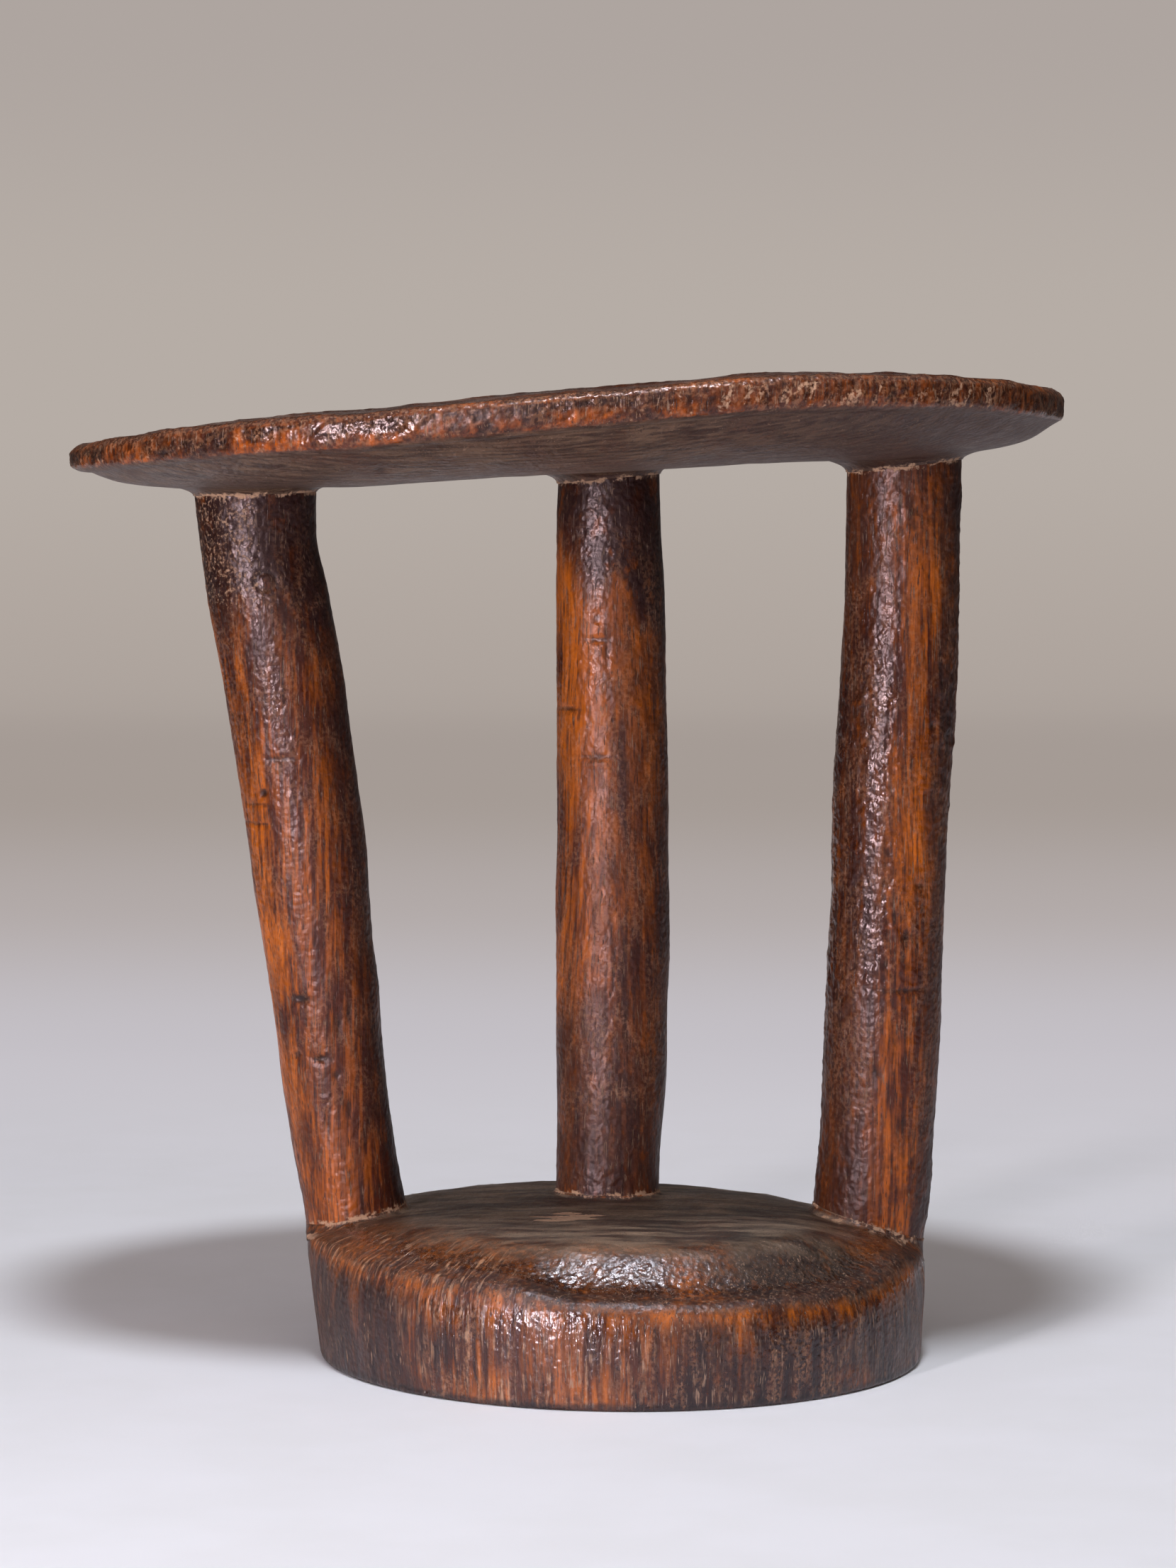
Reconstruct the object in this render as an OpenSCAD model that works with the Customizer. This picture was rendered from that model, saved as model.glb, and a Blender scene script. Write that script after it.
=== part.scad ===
// Headrest stool: an oval seat on three carved round posts and a domed round base.
// Millimetres. X runs along the seat, Y towards the rear post, Z up.
// The origin is the centre of the flat underside of the base.

/* [Seat] */
// Length of the seat along X
seat_len = 230; // [190:1:280]
// Depth of the seat along Y
seat_depth = 176; // [145:1:215]
// Height of the top of the seat at its middle, above the floor
seat_h = 224.5; // [180:0.5:275]
// Middle of the seat along X
seat_x = -12; // [-16:0.5:4]
// Middle of the seat along Y
seat_y = 6; // [-6:0.5:14]
// Squareness of the oval outline: 2 is an ellipse
seat_outline = 2.25; // [2:0.05:3]
// Thickness of the band around the rim
rim_t = 8.5; // [6:0.1:12]
// How much thinner the rim band is at the two tips of the seat
tip_thin = 2.2; // [0:0.1:3]
// Rounding of the two edges of the rim band
rim_round = 1.8; // [0.5:0.1:2.5]
// Depth of the full belly under the rim band
belly_t = 10.1; // [7:0.5:15]
// Depth of the hollow in the top
dish_t = 3.5; // [1:0.5:5]
// Rise of the seat towards +X, in degrees
seat_rise = 5; // [0:0.1:8]
// Fall of the seat towards the rear, in degrees
seat_fall = 0.7; // [-1:0.1:2]
// Where the -X and the +X end start to droop, from the middle of the seat
droop_from = [60, 34]; // [20:1:80]
// Droop of the -X and the +X end at its tip
droop_t = [2.6, 10.4]; // [0:0.2:14]

/* [Base] */
// Diameter of the base on the floor
base_d = 139.4; // [120:0.5:170]
// How far the base is out of round, on the radius
base_oval = 1.5; // [0:0.1:3]
// Direction of the widest part of the base, in degrees
base_wide_at = 140; // [0:5:180]
// How far the wall leans out from the floor to its upper edge
base_flare = 1.8; // [0:0.1:4]
// How much more than that it leans out at the -X side, and less at the +X side
flare_slant = 0.9; // [0:0.1:1.5]
// Mean height of the wall
wall_h = 24.5; // [18:0.5:32]
// How much lower than the mean the wall is on its low side
wall_slant = 3; // [0:0.1:4]
// Direction of the low side of the wall, in degrees
wall_low_at = -30; // [-180:5:180]
// Height of the domed top at the middle
crown_h = 34.5; // [28:0.5:44]
// How much fuller the dome is on the front side than on the rear side
front_full = 2; // [0:0.1:3]
// Rounding of the edge on the floor
floor_round = 0.9; // [0.4:0.1:2]

/* [Posts] */
// Thickness of the left post at its foot, lower third, upper third and head
left_t = [24.2, 25.6, 27.8, 28]; // [20:0.1:32]
// Thickness of the rear post at the same places
rear_t = [24.6, 26.8, 26, 23.8]; // [20:0.1:32]
// Thickness of the right post at the same places
right_t = [27.2, 26.8, 27.4, 26.5]; // [20:0.1:32]
// Depth of every post as a share of its thickness
post_flat = 0.96; // [0.8:0.01:1.1]
// Distance of the left foot from the outside of the base to its middle
left_foot_in = 8; // [8:0.5:30]
// Direction of the left foot from the middle of the base, in degrees
left_foot_at = 172; // [150:1:200]
// Distance of the rear foot from the outside of the base to its middle
rear_foot_in = 48; // [35:0.5:55]
// Direction of the rear foot, in degrees
rear_foot_at = 95; // [70:1:110]
// Distance of the right foot from the outside of the base to its middle
right_foot_in = 10.2; // [8:0.5:30]
// Direction of the right foot, in degrees
right_foot_at = 9; // [-15:1:30]
// Distance of the left head from the -X end of the seat, and its place along Y
left_head = [42.3, 9]; // [0:0.1:60]
// Distance of the rear head from the +Y side of the seat, and its place along X
rear_head = [62, -2.4]; // [-10:0.1:80]
// Distance of the right head from the +X end of the seat, and its place along Y
right_head = [36.8, 9]; // [0:0.1:60]
// How far the left head stands below the belly, at its middle
left_drop = 1.5; // [1.2:0.1:4]
// How far the rear head stands below the belly
rear_drop = 2.7; // [1.2:0.1:4]
// How far the right head stands below the belly
right_drop = 1.6; // [1.2:0.1:4]
// Rise of the left head's shoulder towards +X against the belly, in degrees
left_cant = 0; // [-3:0.5:4]
// Rise of the rear head's shoulder
rear_cant = 2; // [-3:0.5:4]
// Rise of the right head's shoulder
right_cant = 4; // [-3:0.5:4]
// Bow of the left post at half height, along X and Y
left_bow = [0.4, -1.2]; // [-4:0.1:4]
// Bow of the rear post at half height, along X and Y
rear_bow = [1.1, 1.4]; // [-4:0.1:4]
// Bow of the right post at half height, along X and Y
right_bow = [0.8, -1]; // [-4:0.1:4]

/* [Joints] */
// Diameter of the round tenon at each end of a post
tenon_d = 14; // [10:0.5:18]
// Length of the tenon at the foot of a post
foot_tenon_len = 14; // [8:0.5:18]
// Length of the tenon at the head of a post
head_tenon_len = 9; // [6:0.5:11]
// Clearance around a tenon in its socket, on the radius
tenon_clear = 0.1; // [0.05:0.05:0.3]
// Depth of a socket beyond the end of its tenon
socket_spare = 0.5; // [0.2:0.1:1]
// How far the lands for the feet stand above the domed top
foot_land = 0.9; // [0.6:0.1:3]
// How far the flare around a head spreads on to the belly
head_flare = 9; // [3:0.5:12]
// How far the flare around a foot spreads on to the dome
foot_flare = 3.5; // [2:0.5:8]

/* [Hidden] */
// Sides of a post, and its rings from foot to head
post_sides = 32;
post_rings = 16;
// Points around the seat and around the base
round_sides = 72;
// Facets of a tenon and of its socket
bar_sides = 48;
// Rings over the hollow, under the belly and over the dome
face_rings = 7;
// Rings of a flare, and steps around each edge of the rim
flare_rings = 4;
edge_steps = 3;
// Steps around the edge of the base on the floor
foot_steps = 2;
// Rings on the wall of the base, as shares of its height
wall_shares = [0.6, 0.25];
// Middle of the hollow, of the belly and of the dome, as a share of the radius
hub = 0.12;
// Outermost ring of the hollow and of the belly, as a share of the radius
verge = 0.97;
// Fullness of the belly and of the dome: a higher power keeps them full further out
belly_power = 6;
dome_power = 3;
dome_edge = 0.7;
// How close to the tips the rim band thins
tip_power = 20;
// How much thicker the belly is at the +X end, as a share of its depth
belly_lean = 0.35;
// Depth of the end of a flare inside the piece that it belongs to
flare_bite = 0.6;
// Length of a tenon inside its own post
tenon_root = 8;
// Step for the slope of the dome
slope_step = 0.5;

seat_a = seat_len / 2;
seat_b = seat_depth / 2;
socket_d = tenon_d + 2 * tenon_clear;

// Points at equal angles around a ring
function ring_angles(sides) = [for (i = [0:sides - 1]) 360 * i / sides];

// Distance from the middle of the seat to its outline in a direction
function seat_reach(angle) =
    pow(pow(abs(cos(angle)) / seat_a, seat_outline)
        + pow(abs(sin(angle)) / seat_b, seat_outline), -1 / seat_outline);

// How far the ends hang below the sloping plane, at u from the middle
function droop(u) =
    let(end = u < 0 ? 0 : 1, over = max(0, abs(u) - droop_from[end]))
    droop_t[end] * pow(over / (seat_a - droop_from[end]), 2);

// Level of the top edge of the rim, at u and v from the middle of the seat
function rim_level(u, v) = seat_h + tan(seat_rise) * u - tan(seat_fall) * v - droop(u);

// Thickness of the rim band in a direction: it thins close to the two tips
function rim_band(angle, share) =
    rim_t - tip_thin * pow(cos(angle), 4) * pow(share, tip_power);

// Share of the way from the middle of the seat to its outline
function seat_share(u, v) = norm([u, v]) / seat_reach(atan2(v, u));

// Depth of the belly below the rim band at a share of the way out
function belly(u, share) =
    belly_t * (1 + belly_lean * u / seat_a) * (1 - pow(share, belly_power));

// Level of the belly at a place on the plan
function belly_level(x, y) =
    let(u = x - seat_x, v = y - seat_y, share = min(1, seat_share(u, v)))
    rim_level(u, v) - rim_band(atan2(v, u), share) - belly(u, share);

// Place on the seat in a direction: a distance out, and a drop below the rim level
function seat_point(angle, out, drop) =
    let(u = out * cos(angle), v = out * sin(angle))
    [seat_x + u, seat_y + v, rim_level(u, v) - drop];

// Rings of the seat: over the hollow, round the two edges of the rim, and under the belly
function hollow_ring(share) = [for (a = ring_angles(round_sides))
    seat_point(a, share * (seat_reach(a) - rim_round), dish_t * (1 - share * share))];

function upper_edge_ring(turn) = [for (a = ring_angles(round_sides))
    seat_point(a, seat_reach(a) - rim_round * (1 - sin(turn)), rim_round * (1 - cos(turn)))];

function lower_edge_ring(turn) = [for (a = ring_angles(round_sides))
    seat_point(a, seat_reach(a) - rim_round * (1 - cos(turn)),
               rim_band(a, 1) - rim_round * (1 - sin(turn)))];

function belly_ring(share) = [for (a = ring_angles(round_sides))
    let(out = share * (seat_reach(a) - rim_round))
    seat_point(a, out, rim_band(a, share) + belly(out * cos(a), share))];

// Radius of the base on the floor in a direction
function floor_reach(angle) = base_d / 2 + base_oval * cos(2 * (angle - base_wide_at));

// Radius of the upper edge of the wall in a direction
function edge_reach(angle) = floor_reach(angle) + base_flare - flare_slant * cos(angle);

// Height of the wall in a direction
function wall_top(angle) = wall_h - wall_slant * cos(angle - wall_low_at);

// Height of the dome at a share of the way out
function dome_level(angle, share) =
    let(power = dome_power + front_full * max(0, -sin(angle)))
    wall_top(angle) + (crown_h - wall_top(angle)) * pow(1 - pow(share, power), dome_edge);

// Height of the dome at a place on the plan
function dome_at(x, y) =
    let(angle = atan2(y, x))
    dome_level(angle, min(1, norm([x, y]) / edge_reach(angle)));

// Slope of a surface of the given heights, along X and Y, from steps to each side of a place
function slope_of(left, right, front, rear) =
    [right - left, rear - front] / (2 * slope_step);

function dome_slope(p) = slope_of(
    dome_at(p.x - slope_step, p.y), dome_at(p.x + slope_step, p.y),
    dome_at(p.x, p.y - slope_step), dome_at(p.x, p.y + slope_step));

function belly_slope(p) = slope_of(
    belly_level(p.x - slope_step, p.y), belly_level(p.x + slope_step, p.y),
    belly_level(p.x, p.y - slope_step), belly_level(p.x, p.y + slope_step));

// Place of a foot, from its distance in from the wall and its direction
function foot_place(inset, angle) =
    let(r = floor_reach(angle) - inset)
    [r * cos(angle), r * sin(angle)];

left_foot = foot_place(left_foot_in, left_foot_at);
rear_foot = foot_place(rear_foot_in, rear_foot_at);
right_foot = foot_place(right_foot_in, right_foot_at);
left_head_at = [seat_x - seat_a + left_head[0], left_head[1]];
rear_head_at = [rear_head[1], seat_y + seat_b - rear_head[0]];
right_head_at = [seat_x + seat_a - right_head[0], right_head[1]];

// A post is held as its foot, head, bow, thicknesses, and the drop and cant of its head
LEFT = [left_foot, left_head_at, left_bow, left_t, left_drop, left_cant];
REAR = [rear_foot, rear_head_at, rear_bow, rear_t, rear_drop, rear_cant];
RIGHT = [right_foot, right_head_at, right_bow, right_t, right_drop, right_cant];

// Level of the land that a foot stands on: the slope of the dome, raised
function foot_level(post, x, y) =
    let(foot = post[0])
    dome_at(foot.x, foot.y) + foot_land + dome_slope(foot) * [x - foot.x, y - foot.y];

// Level of the land that a head meets: the slope of the belly, lowered and canted
function head_level(post, x, y) =
    let(head = post[1])
    belly_level(head.x, head.y) - post[4]
    + (belly_slope(head) + [tan(post[5]), 0]) * [x - head.x, y - head.y];

// Value at t from 0 to 1 on the cubic through four values at equal steps
function cubic(v, t) =
    let(s = 3 * t)
    v[0] * (1 - s) * (2 - s) * (3 - s) / 6
    + v[1] * s * (2 - s) * (3 - s) / 2
    - v[2] * s * (1 - s) * (3 - s) / 2
    + v[3] * s * (1 - s) * (2 - s) / 6;

// Middle line of a post on the plan
function post_line(post, t) = post[0] + (post[1] - post[0]) * t + post[2] * sin(180 * t);

// Plan of a post at t from foot to head, spread outwards by a flare
function post_plan(post, t, spread = 0) =
    let(c = post_line(post, t), r = cubic(post[3], t) / 2)
    [for (a = ring_angles(post_sides))
        c + [(r + spread) * cos(a), (r * post_flat + spread) * sin(a)]];

// Ring of a post, which turns from the land of its foot to the land of its head
function post_ring(post, t) = [
    for (p = post_plan(post, t))
        [p.x, p.y, (1 - t) * foot_level(post, p.x, p.y) + t * head_level(post, p.x, p.y)]
];

// Plan point moved in so that it keeps clear of the outside of the wall
function inside_wall(p) =
    let(reach = edge_reach(atan2(p.y, p.x)) - flare_bite)
    norm(p) > reach ? p * (reach / norm(p)) : p;

// Ring of the cove around a foot: it leaves the post upright and ends just inside the dome
function foot_cove_ring(post, turn) = [
    for (p = post_plan(post, 0, foot_flare * (1 - cos(turn))))
        let(q = p + (inside_wall(p) - p) * sin(turn), land = foot_level(post, q.x, q.y))
        [q.x, q.y, land - sin(turn) * (land + flare_bite - dome_at(q.x, q.y))]
];

// Ring of the cove around a head: it leaves the post upright and ends just inside the belly
function head_cove_ring(post, turn) = [
    for (p = post_plan(post, 1, head_flare * (1 - cos(turn))))
        let(land = head_level(post, p.x, p.y))
        [p.x, p.y, land + sin(turn) * (belly_level(p.x, p.y) + flare_bite - land)]
];

function joined(lists) = [for (l = lists) for (item = l) item];

function average(points) = [for (p = points) 1] * points / len(points);

// Closed skin over rings of equal count, from the top ring to the bottom one
module skin(rings) {
    n = len(rings[0]);
    rows = len(rings);
    points = concat([average(rings[0])], joined(rings), [average(rings[rows - 1])]);
    low = 1 + (rows - 1) * n;
    top = [for (i = [0:n - 1]) [0, 1 + (i + 1) % n, 1 + i]];
    bottom = [for (i = [0:n - 1]) [low + n, low + i, low + (i + 1) % n]];
    bands = [for (k = [0:rows - 2], i = [0:n - 1])
        let(a = 1 + k * n + i, b = 1 + k * n + (i + 1) % n)
        [[a, b, a + n], [b, b + n, a + n]]];
    polyhedron(points, concat(top, joined(bands), bottom));
}

// Upright round bar around a place on the plan
module upright(place, bottom, top, d) {
    translate([place.x, place.y, bottom]) cylinder(h = top - bottom, d = d, $fn = bar_sides);
}

module seat_plate() {
    shares = [for (i = [0:face_rings - 1]) hub + (verge - hub) * i / (face_rings - 1)];
    turns = [for (i = [0:edge_steps]) 90 * i / edge_steps];
    skin(concat(
        [for (share = shares) hollow_ring(share)],
        [for (turn = turns) upper_edge_ring(turn)],
        [for (turn = turns) lower_edge_ring(turn)],
        [for (i = [face_rings - 1:-1:0]) belly_ring(shares[i])]));
}

module base_puck() {
    dome_rings = [for (i = [0:face_rings])
        let(share = hub + (1 - hub) * sin(90 * i / face_rings))
        [for (a = ring_angles(round_sides))
            let(r = share * edge_reach(a))
            [r * cos(a), r * sin(a), dome_level(a, min(1, share))]]];
    wall_rings = [for (share = wall_shares)
        [for (a = ring_angles(round_sides))
            let(r = floor_reach(a) + (edge_reach(a) - floor_reach(a)) * share)
            [r * cos(a), r * sin(a), wall_top(a) * share]]];
    foot_rings = [for (step = [0:foot_steps])
        let(turn = 90 * step / foot_steps)
        [for (a = ring_angles(round_sides))
            let(r = floor_reach(a) - floor_round * (1 - cos(turn)))
            [r * cos(a), r * sin(a), floor_round * (1 - sin(turn))]]];
    skin(concat(dome_rings, wall_rings, foot_rings));
}

module post_and_tenons(post) {
    foot_z = foot_level(post, post[0].x, post[0].y);
    head_z = head_level(post, post[1].x, post[1].y);
    union() {
        skin([for (k = [post_rings:-1:0]) post_ring(post, k / post_rings)]);
        upright(post[0], foot_z - foot_tenon_len, foot_z + tenon_root, tenon_d);
        upright(post[1], head_z - tenon_root, head_z + head_tenon_len, tenon_d);
    }
}

module foot_collar(post) {
    skin([for (k = [0:flare_rings]) foot_cove_ring(post, 90 * k / flare_rings)]);
}

module head_collar(post) {
    skin([for (k = [flare_rings:-1:0]) head_cove_ring(post, 90 * k / flare_rings)]);
}

module foot_socket(post) {
    foot_z = foot_level(post, post[0].x, post[0].y);
    upright(post[0], foot_z - foot_tenon_len - socket_spare, foot_z + tenon_root, socket_d);
}

module head_socket(post) {
    head_z = head_level(post, post[1].x, post[1].y);
    upright(post[1], head_z - tenon_root, head_z + head_tenon_len + socket_spare, socket_d);
}

module seat() {
    color("sienna") difference() {
        union() {
            seat_plate();
            head_collar(LEFT);
            head_collar(REAR);
            head_collar(RIGHT);
        }
        head_socket(LEFT);
        head_socket(REAR);
        head_socket(RIGHT);
    }
}

module base() {
    color("saddlebrown") difference() {
        union() {
            base_puck();
            foot_collar(LEFT);
            foot_collar(REAR);
            foot_collar(RIGHT);
        }
        foot_socket(LEFT);
        foot_socket(REAR);
        foot_socket(RIGHT);
    }
}

module left_post() {
    color("chocolate") post_and_tenons(LEFT);
}

module rear_post() {
    color("brown") post_and_tenons(REAR);
}

module right_post() {
    color("peru") post_and_tenons(RIGHT);
}

base();
left_post();
rear_post();
right_post();
seat();
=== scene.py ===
"""Carved wooden headrest stool: the carved pieces, their woods, the floor, the lamps and the camera.

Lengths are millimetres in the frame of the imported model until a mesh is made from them.
"""

import math

import bpy
import numpy as np
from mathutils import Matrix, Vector


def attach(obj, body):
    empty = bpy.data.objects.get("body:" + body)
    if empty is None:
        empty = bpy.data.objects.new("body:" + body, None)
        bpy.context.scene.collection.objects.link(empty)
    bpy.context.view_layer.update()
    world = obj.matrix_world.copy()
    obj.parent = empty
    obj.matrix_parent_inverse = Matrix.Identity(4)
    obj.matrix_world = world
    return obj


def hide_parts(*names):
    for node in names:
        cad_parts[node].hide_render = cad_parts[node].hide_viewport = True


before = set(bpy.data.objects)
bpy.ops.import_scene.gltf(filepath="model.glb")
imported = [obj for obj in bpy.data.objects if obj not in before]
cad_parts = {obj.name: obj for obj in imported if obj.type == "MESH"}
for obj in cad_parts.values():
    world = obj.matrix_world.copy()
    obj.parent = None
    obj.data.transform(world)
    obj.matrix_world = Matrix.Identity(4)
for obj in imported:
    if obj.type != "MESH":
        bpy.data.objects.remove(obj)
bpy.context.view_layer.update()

MM = 0.001


# Repeatable roughness, and weights from 0 to 1

def lattice(ix, iy, iz, seed):
    """A repeatable number from 0 to 1 for each whole-number place."""
    h = (ix * 374761393 + iy * 668265263 + iz * 1440662683 + seed * 982451653) & 0xFFFFFFFF
    h = ((h ^ (h >> 13)) * 1274126177) & 0xFFFFFFFF
    h = ((h ^ (h >> 16)) * 1103515245) & 0xFFFFFFFF
    return ((h ^ (h >> 15)) & 0xFFFFFF) / float(0xFFFFFF)


def bumps(points, size, seed):
    """Smooth noise from -1 to 1. size is the length of one bump along each axis."""
    q = points / np.asarray(size, float)
    corner = np.floor(q).astype(np.int64)
    f = q - corner
    f = f * f * (3 - 2 * f)
    total = np.zeros(len(points))
    for dx in (0, 1):
        wx = f[:, 0] if dx else 1 - f[:, 0]
        for dy in (0, 1):
            wy = f[:, 1] if dy else 1 - f[:, 1]
            for dz in (0, 1):
                wz = f[:, 2] if dz else 1 - f[:, 2]
                total += wx * wy * wz * lattice(
                    corner[:, 0] + dx, corner[:, 1] + dy, corner[:, 2] + dz, seed)
    return 2 * total - 1


def rough(points, size, seed, octaves=3):
    """Noise with finer noise upon it, from about -1 to 1."""
    size = np.ones(3) * size
    total = sum(bumps(points, size / 2 ** k, seed + 31 * k) / 2 ** k for k in range(octaves))
    return total / 1.4


# How much further the second nearest scoop is than the nearest where a ridge ends
RIDGE_WIDE = 0.35


def cuts(points, size, seed):
    """Scoops left by a blade, and how near a point is to the ridge between two of them.

    The first result is 0 at the bottom of a scoop and about 1 on a ridge. The second is 1 on a
    ridge and falls to 0 away from it.
    """
    q = points / np.asarray(size, float)
    corner = np.floor(q).astype(np.int64)
    first = np.full(len(points), 9.0)
    second = np.full(len(points), 9.0)
    for dx in (-1, 0, 1):
        for dy in (-1, 0, 1):
            for dz in (-1, 0, 1):
                cx, cy, cz = corner[:, 0] + dx, corner[:, 1] + dy, corner[:, 2] + dz
                away = ((q[:, 0] - cx - lattice(cx, cy, cz, seed)) ** 2
                        + (q[:, 1] - cy - lattice(cx, cy, cz, seed + 1)) ** 2
                        + (q[:, 2] - cz - lattice(cx, cy, cz, seed + 2)) ** 2
                        + 0.25 * lattice(cx, cy, cz, seed + 3))
                second = np.where(away < first, first, np.minimum(second, away))
                first = np.minimum(first, away)
    return first, 1 - ease(second - first, 0.0, RIDGE_WIDE)


def ease(x, low, high):
    """0 below low, 1 above high, and a smooth rise between them."""
    t = np.clip((np.asarray(x, float) - low) / (high - low), 0, 1)
    return t * t * (3 - 2 * t)


def spot(points, centre, radii):
    """1 at a place, fading to 0 at about twice the radii from it."""
    away = (points - np.asarray(centre, float)) / np.asarray(radii, float)
    return np.exp(-(away ** 2).sum(1))


def hump(value, middle, width):
    """1 where a value is at the middle, fading to 0 at about twice the width from it."""
    return np.exp(-((value - middle) / width) ** 2)


def most(*layers):
    """The largest of several values at each point."""
    result = layers[0]
    for layer in layers[1:]:
        result = np.maximum(result, layer)
    return result


# The carved shape, by the frame's measures but with rounder edges

SEAT_A, SEAT_B = 115.0, 88.0
SEAT_X, SEAT_Y, SEAT_H = -12.0, 6.0, 224.5
SEAT_OUTLINE = 2.25
RIM_T, RIM_ROUND, TIP_THIN, TIP_POWER = 8.5, 1.8, (2.2, 1.0), 20
BELLY_T, BELLY_LEAN, BELLY_POWER, TIP_FULL, TIP_FULL_POWER = 10.1, 0.35, 6, 5.9, 14
DISH_T = 3.5
# Waves along the rim: height, where along X from the middle of the seat, and width
RIM_WAVES = ((0.6, 92, 16), (-0.5, -48, 14))
# How far in from the outline the carved underside starts, and how much less at the +X tip
UNDER_IN, UNDER_TIP, UNDER_TIP_WIDE = 4.0, 1.2, 26
# How far the rim band leans in at its lower and its upper edge, and how much less at the +X tip
LEAN_LOW, LEAN_HIGH, LEAN_POWER = (1.4, 1.2), (0.7, 0.5), 2.6
# How far the whole band is set in at that tip, over how many degrees, and where the band is fullest
TIP_IN, TIP_WIDE, FULLEST = 0.7, 24, 0.45
RISE, FALL = math.tan(math.radians(5)), math.tan(math.radians(0.7))
DROOP_FROM, DROOP_T = (60.0, 34.0), (2.6, 10.4)
BASE_R, BASE_OVAL, BASE_WIDE_AT = 69.7, 1.5, math.radians(140)
BASE_FLARE, FLARE_SLANT = 1.8, 0.9
WALL_H, WALL_SLANT, WALL_LOW_AT = 24.5, 3.0, math.radians(-30)
CROWN_H, DOME_POWER, DOME_EDGE, FRONT_FULL = 34.5, 3, 0.7, 2
FLOOR_ROUND = 0.9
# Directions of the two side posts in degrees, and how far the wall swells out to meet each
LEFT_SIDE, RIGHT_SIDE = 174, 6
SWELLS, SWELL_WIDE = ((0.8, LEFT_SIDE), (0.6, RIGHT_SIDE)), 14
# Rises of the front wall: direction and width in degrees, each a millimetre high
WALL_RISES = ((-90, 34), (-52, 22))
# How much of the sharp edge is kept beside the two side posts
EDGE_KEPT, EDGE_KEPT_WIDE = 0.88, 17
# Shares of the way out and of the wall's height over which the upper edge of the wall is rounded
EDGE_IN, EDGE_DOWN = 0.075, 0.75
FOOT_LAND = 0.9
HEAD_FLARE, FOOT_FLARE, FLARE_BITE = 12.0, 3.5, 0.6
# A post's depth as a share of its width, and how far its mesh is let into its neighbours
POST_DEPTH, LET_IN = 0.96, 0.8
# Numbers of mesh cells: across the grids on the seat and the base, round and along a post
SEAT_CELLS, BASE_CELLS, POST_ROUND, POST_ROWS = 176, 172, 188, 372


def seat_reach(a):
    """Distance from the middle of the seat to its outline in a direction."""
    return ((np.abs(np.cos(a)) / SEAT_A) ** SEAT_OUTLINE
            + (np.abs(np.sin(a)) / SEAT_B) ** SEAT_OUTLINE) ** (-1 / SEAT_OUTLINE)


def rim_level(u, v):
    """Level of the top edge of the rim, at u and v from the middle of the seat."""
    start = np.where(u < 0, DROOP_FROM[0], DROOP_FROM[1])
    depth = np.where(u < 0, DROOP_T[0], DROOP_T[1])
    over = np.maximum(0, np.abs(u) - start) / (SEAT_A - start)
    lift = sum(height * hump(u, at, wide) for height, at, wide in RIM_WAVES)
    return SEAT_H + RISE * u - FALL * v - depth * over ** 2 + lift


def rim_band(a, share):
    """Thickness of the rim band, which thins close to the two tips."""
    thin = np.where(np.cos(a) < 0, TIP_THIN[0], TIP_THIN[1])
    return RIM_T - thin * np.cos(a) ** 4 * share ** TIP_POWER


def belly(u, share):
    """Depth of the belly below the rim band at a share of the way out."""
    power = BELLY_POWER + TIP_FULL * (np.maximum(0, u) / SEAT_A) ** TIP_FULL_POWER
    return BELLY_T * (1 + BELLY_LEAN * u / SEAT_A) * (1 - share ** power)


def under_reach(a):
    """Distance to the outline of the carved underside, which turns up in from the seat's."""
    return seat_reach(a) - UNDER_IN + UNDER_TIP * turned(a, 0, UNDER_TIP_WIDE)


def belly_level(x, y, reach=seat_reach):
    """Level of an underside that turns up at a reach, at a place on the plan."""
    u, v = x - SEAT_X, y - SEAT_Y
    a = np.arctan2(v, u)
    share = np.minimum(1, np.hypot(u, v) / reach(a))
    return rim_level(u, v) - rim_band(a, share) - belly(u, share)


def floor_reach(a):
    """Radius of the base on the floor."""
    return BASE_R + BASE_OVAL * np.cos(2 * (a - BASE_WIDE_AT))


def turned(a, middle, width):
    """1 in a direction given in degrees, fading to 0 at about twice the width from it."""
    return hump((np.degrees(a) - middle + 180) % 360 - 180, 0, width)


def edge_reach(a):
    """Radius of the upper edge of the wall, which swells out to meet the two side posts."""
    swell = sum(out * turned(a, side, SWELL_WIDE) for out, side in SWELLS)
    return floor_reach(a) + BASE_FLARE - FLARE_SLANT * np.cos(a) + swell


def wall_top(a):
    """Height of the wall of the base."""
    rise = sum(turned(a, middle, width) for middle, width in WALL_RISES)
    return WALL_H - WALL_SLANT * np.cos(a - WALL_LOW_AT) + rise


def edge_softness(a):
    """How much the upper edge of the wall is rounded: little beside the two outer posts."""
    return 1 - EDGE_KEPT * most(*(turned(a, side, EDGE_KEPT_WIDE) for side in (LEFT_SIDE, RIGHT_SIDE)))


# Dome in front: a flat top, a steep shoulder and a narrow ledge above the wall, each height at a
# share of the way out. Left of it the shoulder is one long slope.
SHOULDER_AT = [0, 0.50, 0.64, 0.71, 0.765, 0.82, 0.865, 0.90, 0.95, 1.0]
SHOULDER_Z = [34.5, 34.5, 34.5, 34.3, 33.2, 28.9, 25.6, 24.7, 24.3, 23.8]
LEFT_Z = [34.5, 34.5, 34.5, 34.1, 33.0, 31.1, 29.2, 27.7, 25.9, 24.0]
# Height of the wall for which these heights hold
LEDGE_Z = 24.0
# Directions in degrees between which the left slope starts, and the front one starts and ends
LEFT_START, FRONT_START, FRONT_END = (-176, -158), (-118, -98), (-44, -14)


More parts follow.
